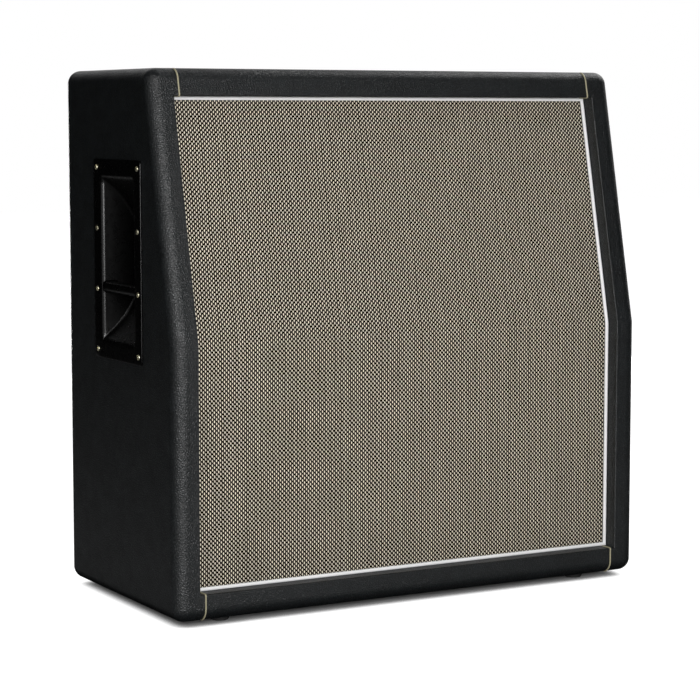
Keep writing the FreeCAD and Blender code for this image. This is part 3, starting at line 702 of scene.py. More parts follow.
def loft(rows: Sequence[Sequence[Vector]]) -> BMesh:
    """Extrudes a line of edges from row to row.

    Args:
        rows: Lines of equally many points.

    Returns:
        The open surface through them.
    """
    bm = bmesh.new()
    column = bm.verts.layers.int.new("column")
    edges = chain(bm, rows[0])
    for index, vert in enumerate(bm.verts):
        vert[column] = index
    for row in rows[1:]:
        made = bmesh.ops.extrude_edge_only(bm, edges=edges)["geom"]
        fresh = set(verts_in(made))
        for vert in fresh:
            vert.co = row[vert[column]]
        edges = [edge for edge in edges_in(made) if fresh.issuperset(edge.verts)]
    return bm


def arc(radius: float, start: float, end: float, steps: int) -> list[Pair]:
    """Points on an arc round zero.

    Args:
        radius: Its radius.
        start: First angle in degrees.
        end: Last angle in degrees.
        steps: Number of runs.

    Returns:
        The points, both ends among them.
    """
    angles = [radians(start + (end - start) * step / steps) for step in range(steps + 1)]
    return [(radius * cos(angle), radius * sin(angle)) for angle in angles]


def add_part(bm: BMesh, part: BMesh, place: Matrix) -> None:
    """Copies a small mesh into a larger one.

    Args:
        bm: Mesh that takes the copy.
        part: Mesh to copy.
        place: Where the copy goes.
    """
    mesh = bpy.data.meshes.new("part")
    part.to_mesh(mesh)
    mesh.transform(place)
    bm.from_mesh(mesh)
    bpy.data.meshes.remove(mesh)


def merged_copy(node: str) -> BMesh:
    """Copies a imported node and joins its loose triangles.

    Args:
        node: Name of the node.

    Returns:
        The copy.
    """
    bm = bmesh.new()
    bm.from_mesh(frame["nodes"][node].data)
    bmesh.ops.remove_doubles(bm, verts=bm.verts, dist=MERGE)
    return bm


def solid_boxes(node: str) -> list[tuple[Vector, Vector]]:
    """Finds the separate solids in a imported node.

    Args:
        node: Name of the node.

    Returns:
        The lowest and highest corner of each solid, sorted so that each run gives one order.
    """
    bm = merged_copy(node)
    left = set(bm.verts)
    boxes = []
    while left:
        reached = [left.pop()]
        for vert in reached:
            near = {edge.other_vert(vert) for edge in vert.link_edges} & left
            left -= near
            reached.extend(near)
        corners = list(zip(*(vert.co for vert in reached)))
        boxes.append((Vector(map(min, corners)), Vector(map(max, corners))))
    bm.free()
    return sorted(boxes, key=lambda box: tuple(box[0]))


def linked(name: str, data: bpy.types.ID) -> bpy.types.Object:
    """Puts a mesh, lamp or camera into the scene.

    Args:
        name: Name of the new object.
        data: What it holds.

    Returns:
        The object.
    """
    made = bpy.data.objects.new(name, data)
    bpy.context.scene.collection.objects.link(made)
    return made


def object_from(bm: BMesh, name: str, material: bpy.types.Material) -> bpy.types.Object:
    """Makes an object of a mesh.

    Args:
        bm: Mesh of the object, used up here.
        name: Its name.
        material: Its material.

    Returns:
        The object.
    """
    mesh = bpy.data.meshes.new(name)
    bm.to_mesh(mesh)
    bm.free()
    mesh.materials.append(material)
    return linked(name, mesh)


def piece_from(bm: BMesh, name: str, palette: Palette, slot: str,
               replaces: Sequence[str] = (), crease: float = 38.0,
               body: str | None = CABINET) -> bpy.types.Object:
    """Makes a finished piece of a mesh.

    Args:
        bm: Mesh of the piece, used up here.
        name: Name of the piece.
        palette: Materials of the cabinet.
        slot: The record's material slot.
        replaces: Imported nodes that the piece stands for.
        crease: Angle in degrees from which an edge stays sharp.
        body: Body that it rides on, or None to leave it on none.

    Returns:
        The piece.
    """
    for face in bm.faces:
        face.smooth = True
    piece = object_from(bm, name, palette[slot])
    piece.data.set_sharp_from_angle(angle=radians(crease))
    if body:
        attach(piece, body)
    if replaces:
        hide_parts(*replaces)
    LOG.info("piece %s with %d faces in %s", name, len(piece.data.polygons), slot)
    return piece


def thicken(piece: bpy.types.Object, thickness: float) -> None:
    """Gives an open surface its thickness, inwards.

    Args:
        piece: The surface.
        thickness: How thick it gets.
    """
    shell = piece.modifiers.new("thickness", "SOLIDIFY")
    shell.thickness = thickness
    shell.offset = -1


# The cabinet


@dataclass(frozen=True)
class CabinetForm:
    """Outer form of the cabinet: where its front planes and its mouth lie.

    Attributes:
        half_width: From the middle to a side face.
        bottom: Height of the shell's underside.
        top: Height of the top face.
        front: Y of the lower front plane.
        bend_rise: From the underside to the bend of the front.
        setback: How far the top of the front leans back.
        side_border: From a side face to the mouth.
        rail_border: From the underside or the top face to the mouth.
        reveal: Depth of the cloth behind the front.
    """

    half_width: float
    bottom: float
    top: float
    front: float
    bend_rise: float = 380.0 * MM
    setback: float = 80.0 * MM
    side_border: float = 37.0 * MM
    rail_border: float = 38.0 * MM
    reveal: float = 25.0 * MM

    @classmethod
    def from_solids(cls) -> "CabinetForm":
        """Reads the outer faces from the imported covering.

        Returns:
            The form.
        """
        low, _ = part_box("bottom_vinyl")
        side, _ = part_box("left_vinyl")
        _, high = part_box("top_vinyl")
        return cls(half_width=-side.x, bottom=low.z, top=high.z, front=low.y)

    @property
    def bend(self) -> float:
        """Height of the bend on the outer face."""
        return self.bottom + self.bend_rise

    @property
    def lean(self) -> float:
        """Setback per height of the upper front."""
        return self.setback / (self.top - self.bend)

    @property
    def half_mouth(self) -> float:
        """From the middle to a side of the mouth."""
        return self.half_width - self.side_border

    @property
    def mouth_bottom(self) -> float:
        """Height of the mouth's lower edge."""
        return self.bottom + self.rail_border

    @property
    def mouth_top(self) -> float:
        """Height of the mouth's upper edge."""
        return self.top - self.rail_border

    def bend_height(self, inset: float) -> float:
        """Height of the bend at a depth behind the front."""
        slope = self.lean
        return self.bend - inset * slope / (1 + sqrt(1 + slope * slope))

    def front_y(self, inset: float, height: float) -> float:
        """Y of the plane at a depth behind the front."""
        above = max(0.0, height - self.bend_height(inset))
        return self.front + inset + above * self.lean


@dataclass
class Grille:
    """Woven cloth over both baffles: a dark ground sheet with raised threads on it.

    Attributes:
        form: Outer form of the cabinet.
        palette: Materials of the cabinet.
        fit: Gap between the cloth and the mouth's sides.
        thickness: Thickness of the ground sheet.
        turn: How far the cloth turns back round the baffles.
        repeat: Repeat of the weave, both ways.
        margin: Room that the weave leaves at the mouth's edges, in repeats.
        lead: From the bend to the first float, in repeats.
        warp: Width, length and rise of a light float.
        weft: Width, length and rise of a dark float.
        crown: Share of its rise that a float loses at its sides.
        waist: Share of its width that a float loses at its ends.
        sink: How deep a float's ends dip into the ground.
        stray: How far a thread may lie out of its place.
        sway: How far the threads wander to and fro.
        sway_run: Length of one wander.
    """

    form: CabinetForm
    palette: Palette
    fit: float = 0.6 * MM
    thickness: float = 0.5 * MM
    turn: float = 12.0 * MM
    repeat: float = 6.35 * MM
    margin: float = 0.75
    lead: float = 0.25
    warp: Triple = (2.05 * MM, 4.6 * MM, 0.75 * MM)
    weft: Triple = (2.3 * MM, 4.2 * MM, 0.5 * MM)
    crown: float = 0.85
    waist: float = 0.3
    sink: float = 0.25 * MM
    stray: float = 0.2 * MM
    sway: float = 0.4 * MM
    sway_run: float = 85.0 * MM

    @property
    def depth(self) -> float:
        """Depth of the ground sheet's face behind the front."""
        return self.form.reveal + self.warp[2]

    def on_face(self, edge: BMEdge) -> bool:
        """Tells whether an upright border edge lies on the sheet's face."""
        return edge.is_boundary and abs(edge.verts[0].co.x - edge.verts[1].co.x) < MERGE and all(
            vert.co.y < self.form.front_y(self.depth, vert.co.z) + MERGE for vert in edge.verts)

    def ground(self) -> bpy.types.Object:
        """Stretches the ground sheet over the baffles.

        Returns:
            The sheet.
        """
        form = self.form
        low, high = form.mouth_bottom + self.fit, form.mouth_top - self.fit
        half = form.half_mouth - self.fit
        heights = (low, form.bend_height(self.depth), high)
        line = [(form.front_y(self.depth, height), height) for height in heights]
        line.insert(0, (line[0][0] + self.turn, low))
        line.append((line[-1][0] + self.turn, high))
        bm = loft([[Vector((x, y, z)) for y, z in line] for x in (-half, half)])
        sides = [edge for edge in bm.edges if self.on_face(edge)]
        made = bmesh.ops.extrude_edge_only(bm, edges=sides)["geom"]
        bmesh.ops.translate(bm, verts=verts_in(made), vec=(0, self.turn, 0))
        piece = piece_from(facing(bm, FORWARD), "cloth_ground", self.palette, "grille_weave",
                           replaces=["grille_cloth"])
        thicken(piece, self.thickness)
        return piece

    def float_form(self, thread: Thread) -> BMesh:
        """Shapes one raised float of yarn along Y, rising along Z.

        Args:
            thread: Which way it runs.

        Returns:
            A small crowned grid.
        """
        width, length, rise = self.warp if thread is Thread.WARP else self.weft
        bm = bmesh.new()
        bmesh.ops.create_grid(bm, x_segments=2, y_segments=4, size=1.0)
        for vert in bm.verts:
            across, along = vert.co.x, vert.co.y
            crown = (1 - self.crown * across * across) * (1 - along * along)
            vert.co = Vector((across * width / 2 * (1 - self.waist * along * along),
                              along * length / 2, (rise + self.sink) * crown - self.sink))
        return bm

    def layout(self, panel: Panel) -> tuple[Matrix, int, int]:
        """Lays out the weave on one plane of the front.

        Args:
            panel: Which plane.

        Returns:
            Where the weave starts, with its X across and its Y away from the bend, and how many
            repeats fit across and along.
        """
        form = self.form
        height = form.bend_height(self.depth)
        bend = Vector((0, form.front_y(self.depth, height), height))
        across = Vector((1, 0, 0))
        if panel is Panel.LOWER:
            away, end, out = Vector((0, 0, -1)), form.mouth_bottom, FORWARD
        else:
            away, end = Vector((0, form.lean, 1)).normalized(), form.mouth_top
            out = across.cross(away)
        margin = self.repeat * self.margin
        run = abs(end - bend.z) / abs(away.z)
        columns = int((2 * form.half_mouth - margin) / self.repeat)
        rows = int((run - margin) / self.repeat) + 1
        start = bend - Vector((columns * self.repeat / 2, 0, 0)) + away * self.repeat * self.lead
        turn = Matrix((across, away, out)).transposed().to_4x4()
        return Matrix.Translation(start) @ turn, columns, rows

    def laid(self, thread: Thread, threads: int, floats: int, late: bool) -> BMesh:
        """Lays floats along Y, thread by thread along X, with each thread a little out of place.

        Args:
            thread: Which thread.
            threads: Number of threads.
            floats: Floats on each thread.
            late: Whether the first thread begins half a repeat along.

        Returns:
            The floats.
        """
        shift = self.repeat / 2
        draw = Random(threads)
        bm, single, part = bmesh.new(), bmesh.new(), self.float_form(thread)
        for index in range(floats):
            add_part(single, part, Matrix.Translation((0, index * self.repeat, 0)))
        for index in range(threads):
            start = shift if (index % 2 == 0) is late else 0.0
            aside = index * shift + draw.uniform(-self.stray, self.stray)
            add_part(bm, single, Matrix.Translation((aside, start, 0)))
        part.free()
        single.free()
        return bm

    def threads(self, thread: Thread, panel: Panel) -> bpy.types.Object:
        """Weaves the floats of one thread over one plane of the front.

        Args:
            thread: Which thread.
            panel: Which plane.

        Returns:
            The floats.
        """
        place, columns, rows = self.layout(panel)
        upright = thread is Thread.WARP
        counts = (2 * columns, rows) if upright else (2 * rows, columns)
        bm = self.laid(thread, *counts, late=upright is (panel is Panel.LOWER))
        for vert in bm.verts:
            if not upright:
                vert.co.xy = vert.co.yx
            vert.co.x += self.sway * sin(2 * pi * vert.co.y / self.sway_run)
        bmesh.ops.transform(bm, matrix=place, verts=bm.verts)
        bmesh.ops.recalc_face_normals(bm, faces=bm.faces)
        return piece_from(bm, f"cloth_{thread.value}_{panel.value}", self.palette,
                          "grille_weave", crease=SMOOTH_ALL)

    def build(self) -> None:
        ground = self.ground()
        warp, weft = ([self.threads(thread, panel) for panel in Panel] for thread in Thread)
        for piece in (ground, *weft):
            piece.data.materials[0] = self.palette["dark_yarn"]
        form = self.form
        slant = sqrt(1 + form.lean ** 2)
        bend = form.bend_height(self.depth)
        tall = bend - form.mouth_bottom + (form.mouth_top - bend) * slant
        flat = (2 * (form.half_mouth + self.turn), tall + 2 * self.turn)


@dataclass
class CornerFolds:
    """Mitred folds of the covering on the four corners of the front.

    Attributes:
        form: Outer form of the cabinet.
        palette: Materials of the cabinet.
        width: Width of a fold's lip.
        rise: Height of the lip.
        taper: Share of the lip over which it rises from an end.
        end_share: Share of its height that it has at an end.
        sink: How deep its edges lie in the covering.
        rim: Rounding of the mouth's edge, where a fold begins.
        rounding: Rounding of the cabinet's edges, where a fold ends.
    """

    form: CabinetForm
    palette: Palette
    width: float = 1.1 * MM
    rise: float = 0.35 * MM
    taper: float = 0.15
    end_share: float = 0.2
    sink: float = 0.1 * MM
    rim: float = 2.0 * MM
    rounding: float = 19.0 * MM

    def run(self, side: Side, panel: Panel) -> tuple[Vector, Vector]:
        """First and last point of one fold on the front.

        Args:
            side: Which side of the front.
            panel: Which plane of the front.

        Returns:
            The point at the mouth's corner and the one at the outer corner.
        """
        form = self.form
        if panel is Panel.UPPER:
            heights = (form.mouth_top + self.rim, form.top - self.rounding)
        else:
            heights = (form.mouth_bottom - self.rim, form.bottom + self.rounding)
        places = (form.half_mouth + self.rim, form.half_width - self.rounding)
        return tuple(Vector((side.value * x, form.front_y(0.0, z), z))
                     for x, z in zip(places, heights))

    def lip(self, start: Vector, end: Vector) -> BMesh:
        """Raises one lip that tapers at both ends.

        Args:
            start: Its first point on the front.
            end: Its last point.

        Returns:
            The lip.
        """
        along = (end - start).normalized()
        out = (FORWARD - along * along.dot(FORWARD)).normalized()
        across, under = along.cross(out) * self.width / 2, out * self.sink
        rows = []
        for share, full in ((0.0, self.end_share), (self.taper, 1.0),
                            (1 - self.taper, 1.0), (1.0, self.end_share)):
            point = start.lerp(end, share)
            near, far = point - across - under, point + across - under
            rows.append([near, point + out * self.rise * full, far, near])
        bm = closed_up(loft(rows))
        bmesh.ops.holes_fill(bm, edges=bm.edges)
        return closed_up(bm)

    def build(self) -> None:
        """Raises the four lips."""
        bm = bmesh.new()
        for side in Side:
            for panel in Panel:
                lip = self.lip(*self.run(side, panel))
                add_part(bm, lip, Matrix.Identity(4))
                lip.free()
        piece_from(bm, "corner_folds", self.palette, "black_vinyl", crease=SMOOTH_ALL)


@dataclass
class Handle:
    """Moulded side handle: flange, bowl with a rounded rim, and a grip bar across it.

    Attributes:
        side: Side wall that carries it.
        palette: Materials of the cabinet.
        thickness: Thickness of the flange.
        edge: Rounding of the flange's outer edge.
        edge_steps: Faces on that rounding.
        corner: Rounding of the flange's corners.
        corner_shares: Where that rounding has its sections, from its start to near its end.
        mouth_height: Height of the bowl's mouth.
        mouth_width: Width of the bowl's mouth.
        depth: Depth of the bowl from the flange's face.
        rim: Rounding of the bowl's rim.
        rim_steps: Faces on the rim.
        floor_round: Rounding where the bowl's floor meets its ends.
        floor_steps: Faces on that rounding.
        bowl_share: Share of the half mouth with even sections.
        bowl_sections: Number of those sections.
        end_sections: Sections from there past the rim.
        wall: Thickness of the moulding.
        crease: Angle in degrees from which an edge stays sharp.
        bar_drop: From the handle's middle down to the bar's middle.
        bar_height: Height of the bar.
        bar_depth: Depth of the bar.
        bar_setback: From the flange's face to the bar.
        bar_round: Rounding of the bar's long edges.
        bar_flare: How far the bar swells where it meets the bowl.
        flare_run: Length of that swell.
        flare_sections: Sections along the swell.
        flare_power: How steeply it swells.
    """

    side: Side
    palette: Palette
    thickness: float = 2.5 * MM
    edge: float = 0.8 * MM
    edge_steps: int = 3
    corner: float = 6.0 * MM
    corner_shares: Triple = (1.0, 0.62, 0.36)
    mouth_height: float = 232.0 * MM
    mouth_width: float = 110.0 * MM
    depth: float = 66.0 * MM
    rim: float = 6.5 * MM
    rim_steps: int = 6
    floor_round: float = 6.0 * MM
    floor_steps: int = 5
    bowl_share: float = 0.9
    bowl_sections: int = 26
    end_sections: int = 10
    wall: float = 3.0 * MM
    crease: float = 60.0
    bar_drop: float = 40.0 * MM
    bar_height: float = 14.0 * MM
    bar_depth: float = 22.0 * MM
    bar_setback: float = 2.0 * MM
    bar_round: float = 5.0 * MM
    bar_flare: float = 4.0 * MM
    flare_run: float = 10.0 * MM
    flare_sections: int = 7
    flare_power: float = 2.2
    low: Vector = field(init=False)
    high: Vector = field(init=False)

    def __post_init__(self) -> None:
        """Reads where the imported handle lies."""
        self.low, self.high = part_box(self.node)

    @property
    def node(self) -> str:
        """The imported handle."""
        return f"{self.side.word}_handle"

    @property
    def middle(self) -> Vector:
        """Middle of the handle on the flange's face."""
        face = max(abs(self.low.x), abs(self.high.x))
        return Vector((self.side.value * face, *((self.low + self.high) / 2).yz))

    def floor(self, height: float) -> float:
        """Depth of the bowl's floor.

        Args:
            height: Height from the handle's middle.

        Returns:
            Depth behind the flange's face, running smoothly to zero at the rim.
        """
        half = self.mouth_height / 2
        radius = (half * half + self.depth * self.depth) / (2 * self.depth)
        away = abs(height)
        if away < half:
            bare = sqrt(radius * radius - away * away) - (radius - self.depth)
        else:
            bare = (half - away) * half / (radius - self.depth)
        if bare <= -self.rim:
            return 0.0
        return bare if bare >= self.rim else (bare + self.rim) ** 2 / (4 * self.rim)

    def section(self, height: float, lift: float) -> list[Pair]:
        """Outline of the moulding at one height.

        Args:
            height: Height from the handle's middle.
            lift: Least depth of any point, for the flange's ends.

        Returns:
            Y from the middle and depth of each point, from front to rear.
        """
        from_end = (self.high.z - self.low.z) / 2 - abs(height)
        half = (self.high.y - self.low.y) / 2
        if from_end < self.corner:
            half -= self.corner - sqrt(self.corner ** 2 - (self.corner - from_end) ** 2)
        depth = self.floor(height)
        share = min(1.0, depth / (self.rim + self.floor_round))
        mouth = self.mouth_width / 2
        line = [(half, self.thickness)]
        line += [(half - self.edge + y, self.edge - d)
                 for y, d in arc(self.edge, 0, 90, self.edge_steps)]
        line += [(mouth + self.rim - y, share * (self.rim - d))
                 for y, d in arc(self.rim, 90, 0, self.rim_steps)]
        line += [(mouth - self.floor_round + y, depth - share * (self.floor_round - d))
                 for y, d in arc(self.floor_round, 0, 90, self.floor_steps)]
        line += [(mouth / 2, depth), (0.0, depth)]
        front = [(-y, max(d, lift)) for y, d in line]
        return front + [(-y, d) for y, d in reversed(front[:-1])]

    def heights(self) -> list[Pair]:
        """Where the sections lie.

        Returns:
            The height and lift of each section, from the middle up.
        """
        half = (self.high.z - self.low.z) / 2
        reach = self.mouth_height / 2
        even = reach * self.bowl_share
        rows = [(even * step / self.bowl_sections, 0.0) for step in range(self.bowl_sections + 1)]
        rows += [(even + (reach - even + self.rim) * step / self.end_sections, 0.0)
                 for step in range(1, self.end_sections + 1)]
        rows += [(half - self.corner * share, 0.0) for share in self.corner_shares]
        rows += [(half - self.edge + y, self.edge - d)
                 for y, d in reversed(arc(self.edge, 0, 90, self.edge_steps))]
        return rows + [(half, self.thickness)]

    def moulding(self) -> BMesh:
        """Lofts the flange and bowl in one surface.

        Returns:
            The outer skin, facing out of the cabinet.
        """
        upper = self.heights()
        stations = [(-height, lift) for height, lift in reversed(upper)] + upper[1:]
        middle, side = self.middle, self.side.value
        bm = loft([[middle + Vector((-side * depth, y, height))
                    for y, depth in self.section(height, lift)]
                   for height, lift in stations])
        return facing(bm, Vector((side, 0, 0)))

    def bar(self) -> BMesh:
        """Shapes the grip bar, swelling where it meets the bowl's ends.

        Returns:
            The bar.
        """
        reach = self.mouth_width / 2 + self.wall / 2
        bm = bmesh.new()
        bmesh.ops.create_cube(bm, size=1.0)
        bmesh.ops.scale(bm, verts=bm.verts, vec=(self.bar_depth, 2 * reach, self.bar_height))
        long_edges = [edge for edge in bm.edges
                      if abs(edge.verts[0].co.y - edge.verts[1].co.y) > reach]
        bmesh.ops.bevel(bm, geom=long_edges, offset=self.bar_round, segments=5, profile=0.5,
                        affect="EDGES", material=-1)
        for step in range(1, self.flare_sections + 1):
            for end in Side:
                cut = end.value * (reach - self.flare_run * step / self.flare_sections)
                cut_across(bm, (0, cut, 0), (0, 1, 0))
        for vert in bm.verts:
            near = max(0.0, 1 - (reach - abs(vert.co.y)) / self.flare_run)
            out = Vector((vert.co.x, 0, vert.co.z)).normalized()
            if vert.co.x * self.side.value > 0:
                out.x = 0.0
            vert.co += out * self.bar_flare * near ** self.flare_power
        inward = self.bar_setback + self.bar_depth / 2
        shift = self.middle + Vector((-self.side.value * inward, 0, -self.bar_drop))
        bmesh.ops.translate(bm, verts=bm.verts, vec=shift)
        return closed_up(bm)

    def build(self) -> None:
        """Moulds the handle and its bar."""
        piece = piece_from(self.moulding(), f"{self.node}_moulding", self.palette,
                           "handle_plastic", replaces=[self.node], crease=self.crease)
        thicken(piece, self.wall)
        piece_from(self.bar(), f"{self.node}_bar", self.palette, "handle_plastic",
                   crease=self.crease)


@dataclass
class Suspension:
    """Soft rings that carry the cone of one driver: its corrugated edge and its spider.

    Attributes:
        driver: Which driver, as the nodes spell it.
        palette: Materials of the cabinet.
        lap: Width of a ring's flat inner and outer margin.
        split: Radius at which the spider parts into a moving and a still ring.
        split_gap: Gap between those two rings.
    """

    driver: str
    palette: Palette
    lap: float = 2.0 * MM
    split: float = 49.225 * MM
    split_gap: float = 0.3 * MM

    @property
    def diaphragm(self) -> str:
        """Body that the cone rides on."""
        return f"{self.driver}_diaphragm"

    @property
    def axis(self) -> Vector:
        """Way that the cone travels forwards."""
        joints = frame["record"]["behaviour"]["joints"]
        return Vector(next(joint["axis"] for joint in joints
                           if joint["child"] == self.diaphragm))

    def ring(self, node: str) -> tuple[BMesh, Vector]:
        """Copy of a packed ring, and a point on its axis."""
        low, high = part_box(node)
        return merged_copy(node), (low + high) / 2

    def radius(self, point: Vector, middle: Vector) -> float:
        """Distance of a point from the driver's axis."""
        away = point - middle
        return (away - self.axis * away.dot(self.axis)).length

    def edge(self) -> None:
        """Copies the cone's edge as a piece that rides on no body, and works out where its inner
        lap on the cone and its rim on the frame lie.
        """
        node = f"{self.driver}_cone_edge"
        bm, middle = self.ring(node)
        places = [(self.radius(vert.co, middle), (vert.co - middle).dot(self.axis))
                  for vert in bm.verts]
        inner, outer = min(places)[0] + self.lap, max(places)[0] - self.lap
        start = max(level for radius, level in places if radius < inner)
        end = min(level for radius, level in places if radius > outer)
        piece = piece_from(bm, f"{self.driver}_edge_rolls", self.palette, "suspension_cloth",
                           replaces=[node], body=None)
        middle + self.axis * start
        middle + self.axis * end
        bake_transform(piece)

    def spider_ring(self, name: str, inside: bool, body: str,
                    replaces: Sequence[str] = ()) -> None:
        """Cuts one ring out of the spider.

        Args:
            name: Name of the ring.
            inside: Whether it is the ring next to the voice coil.
            body: Body that it rides on.
            replaces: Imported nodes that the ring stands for.
        """
        bm, middle = self.ring(f"{self.driver}_spider")
        away = [face for face in bm.faces
                if (self.radius(face.calc_center_median(), middle) < self.split) is not inside]
        bmesh.ops.delete(bm, geom=away, context="FACES")
        cut = [edge for edge in bm.edges if edge.is_boundary]
        if inside:
            share = 1 - self.split_gap / self.split
            for vert in {vert for edge in cut for vert in edge.verts}:
                out = vert.co - middle
                along = self.axis * out.dot(self.axis)
                vert.co = middle + along + (out - along) * share
        bmesh.ops.bridge_loops(bm, edges=cut)
        bmesh.ops.recalc_face_normals(bm, faces=bm.faces)
        piece_from(bm, name, self.palette, "suspension_cloth", replaces=replaces, body=body)

    def build(self) -> None:
        """Hangs the cone."""
        self.edge()
        self.spider_ring(f"{self.driver}_spider_inner", inside=True, body=self.diaphragm)
        self.spider_ring(f"{self.driver}_spider_outer", inside=False, body=CABINET,
                         replaces=[f"{self.driver}_spider"])


@dataclass
class ScrewSet:
    """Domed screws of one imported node, each with its recess.

    Attributes:
        node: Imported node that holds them.
        slot: The record's material slot.
        axis: Index of the axis that they point along.
        recess: Kind of recess.
        radius: Radius of a head.
        rise: Height of a head.
        skirt_share: Share of its height that stands upright.
        sides: Faces round a head.
        dome_step: Angle in degrees between the rings of the dome.
        recess_width: Width of the recess.
        recess_depth: Depth of the recess.
        arm_share: Reach of a cross recess as a share of the radius.
        least_slope: Least upward part of the normal of a face that is cut away.
        least_share: Least height of such a face as a share of the rise.
        turn: Angle in degrees from one screw to the next.
    """

    node: str
    slot: str
    axis: int
    recess: Recess
    radius: float = 3.8 * MM
    rise: float = 1.8 * MM
    skirt_share: float = 0.15
    sides: int = 24
    dome_step: int = 15
    recess_width: float = 0.9 * MM
    recess_depth: float = 0.8 * MM
    arm_share: float = 0.6
    least_slope: float = 0.15
    least_share: float = 0.2
    turn: float = 47.0

    def head(self) -> BMesh:
        """Turns one head on Z, with its seat at zero and its recess cut.

        Returns:
            The head.
        """
        skirt = self.skirt_share * self.rise
        dome = [(self.radius * sin(radians(angle)),
                 skirt + (self.rise - skirt) * cos(radians(angle)))
                for angle in range(0, 91, self.dome_step)]
        bm = lathe([*dome, (self.radius, 0.0), (0.0, 0.0)], self.sides)
        half = self.recess_width / 2
        for normal in (Vector((1, 0, 0)), Vector((0, 1, 0))):
            for sign in (-1, 1):
                cut_across(bm, normal * sign * half, normal)
        closed_up(bm)
        faces = [face for face in bm.faces if self.recessed(face)]
        made = bmesh.ops.extrude_face_region(bm, geom=faces)["geom"]
        bmesh.ops.translate(bm, verts=verts_in(made), vec=(0, 0, -self.recess_depth))
        bmesh.ops.delete(bm, geom=faces, context="FACES")
        closed_up(bm)
        if bm.calc_volume(signed=True) < 0:
            bmesh.ops.reverse_faces(bm, faces=bm.faces)
        return bm

    def recessed(self, face: BMFace) -> bool:
        """Tells whether a face of the dome lies in the recess.

        Args:
            face: Face of the dome.

        Returns:
            True where it is cut away.
        """
        middle = face.calc_center_median()
        half, arm = self.recess_width / 2, self.arm_share * self.radius
        if face.normal.z < self.least_slope or middle.z < self.least_share * self.rise:
            return False
        if self.recess is Recess.SLOT:
            return abs(middle.x) < half
        return (abs(middle.x) < half and abs(middle.y) < arm) or (
            abs(middle.y) < half and abs(middle.x) < arm)

    def build(self, palette: Palette) -> None:
        """Sets a head at each packed screw.

        Args:
            palette: Materials of the cabinet.
        """
        bm = bmesh.new()
        head = self.head()
        for index, (low, high) in enumerate(solid_boxes(self.node)):
            middle = (low + high) / 2
            sign = 1 if middle[self.axis] > 0 else -1
            outer = high[self.axis] if sign > 0 else low[self.axis]
            middle[self.axis] = outer - sign * self.rise
            out = Vector([sign if axis == self.axis else 0 for axis in range(3)])
            turn = Matrix.Rotation(radians(self.turn * index), 4, out)
            upright = out.to_track_quat("Z", "Y").to_matrix().to_4x4()
            add_part(bm, head, Matrix.Translation(middle) @ turn @ upright)
        head.free()
        piece_from(bm, f"{self.node}_heads", palette, self.slot, replaces=[self.node])


@dataclass
class Feet:
    """Rubber feet under the cabinet, tapered, with a well for the screw.

    Attributes:
        palette: Materials of the cabinet.
        well: Radius of the screw's well.
        well_depth: Depth of the well.
        taper: How much narrower the sole is than the top.
        edge: Rounding of the sole's edge.
        edge_steps: Faces on that rounding.
        sides: Faces round a foot.
    """

    palette: Palette
    well: float = 5.5 * MM
    well_depth: float = 4.0 * MM
    taper: float = 2.5 * MM
    edge: float = 1.5 * MM
    edge_steps: int = 4
    sides: int = 40

    def build(self) -> None:
        """Sets a foot at each packed foot."""
        bm = bmesh.new()
        for low, high in solid_boxes("rubber_feet"):
            radius, height = (high.x - low.x) / 2, high.z - low.z
            sole = radius - self.taper - self.edge
            profile = [(0.0, self.well_depth), (self.well, self.well_depth), (self.well, 0.0)]
            profile += [(sole + out, self.edge + up)
                        for out, up in arc(self.edge, -90, 0, self.edge_steps)]
            profile += [(radius, height - self.edge), (radius, height), (0.0, height)]
            foot = lathe(profile, self.sides)
            middle = (low + high) / 2
            add_part(bm, foot, Matrix.Translation((middle.x, middle.y, low.z)))
            foot.free()
        piece_from(bm, "turned_feet", self.palette, "foot_rubber", replaces=["rubber_feet"])


# Studio

# Level of the black that paints dark reflections in the cabinet's sheen.
DARK_REFLECTION_BLACK = 0.004
MATT = 1.0


@dataclass(frozen=True)
class Lamp:
    """Soft square lamp.

    Attributes:
        name: Name of the lamp.
        place: Where it hangs.
        target: What it points at.
        size: Side of its face.
        power: Power in watts.
    """

    name: str
    place: Triple
    target: Triple
    size: float
    power: float

    def build(self) -> None:
        """Hangs the lamp."""
        data = bpy.data.lights.new(self.name, "AREA")
        data.size = self.size
        data.energy = self.power
        lamp = linked(self.name, data)
        lamp.location = self.place
        aim = Vector(self.target) - Vector(self.place)
        lamp.rotation_euler = aim.to_track_quat("-Z", "Y").to_euler()


@dataclass(frozen=True)
class SheenThing:
    """Dull black thing of the studio that only the cabinet's sheen shows: it paints a dark
    reflection on the cabinet.

    Attributes:
        name: Name of the thing.
    """

    name: str

    def form(self) -> BMesh:
        """Mesh of the thing."""
        raise NotImplementedError

    def surface(self) -> Surface:
        """Paints the thing.

        Returns:
            Its surface.
        """
        surface = Surface(self.name)
        surface.dull(DARK_REFLECTION_BLACK, MATT)
        return surface

    def build(self) -> None:
        """Sets the thing up."""
        thing = object_from(self.form(), self.name, self.surface().material)
        thing.visible_camera = False
        thing.visible_diffuse = False
        thing.visible_shadow = False
        thing.visible_transmission = False


@dataclass(frozen=True)
class StandingCard(SheenThing):
    """Folded card that stands on the floor; seen only in the cabinet's sheen, it paints a dark
    reflection there.

    Attributes:
        folds: X and Y of its ends and folds.
        height: Height of the card.
    """

    folds: tuple[Pair, ...]
    height: float = 2.8

    def form(self) -> BMesh:
        """Raises the card from its lower edge.

        Returns:
            Its mesh.
        """
        bm = bmesh.new()
        bottom = chain(bm, [Vector((x, y, 0.0)) for x, y in self.folds])
        made = bmesh.ops.extrude_edge_only(bm, edges=bottom)["geom"]
        bmesh.ops.translate(bm, verts=verts_in(made), vec=(0, 0, self.height))
        return bm


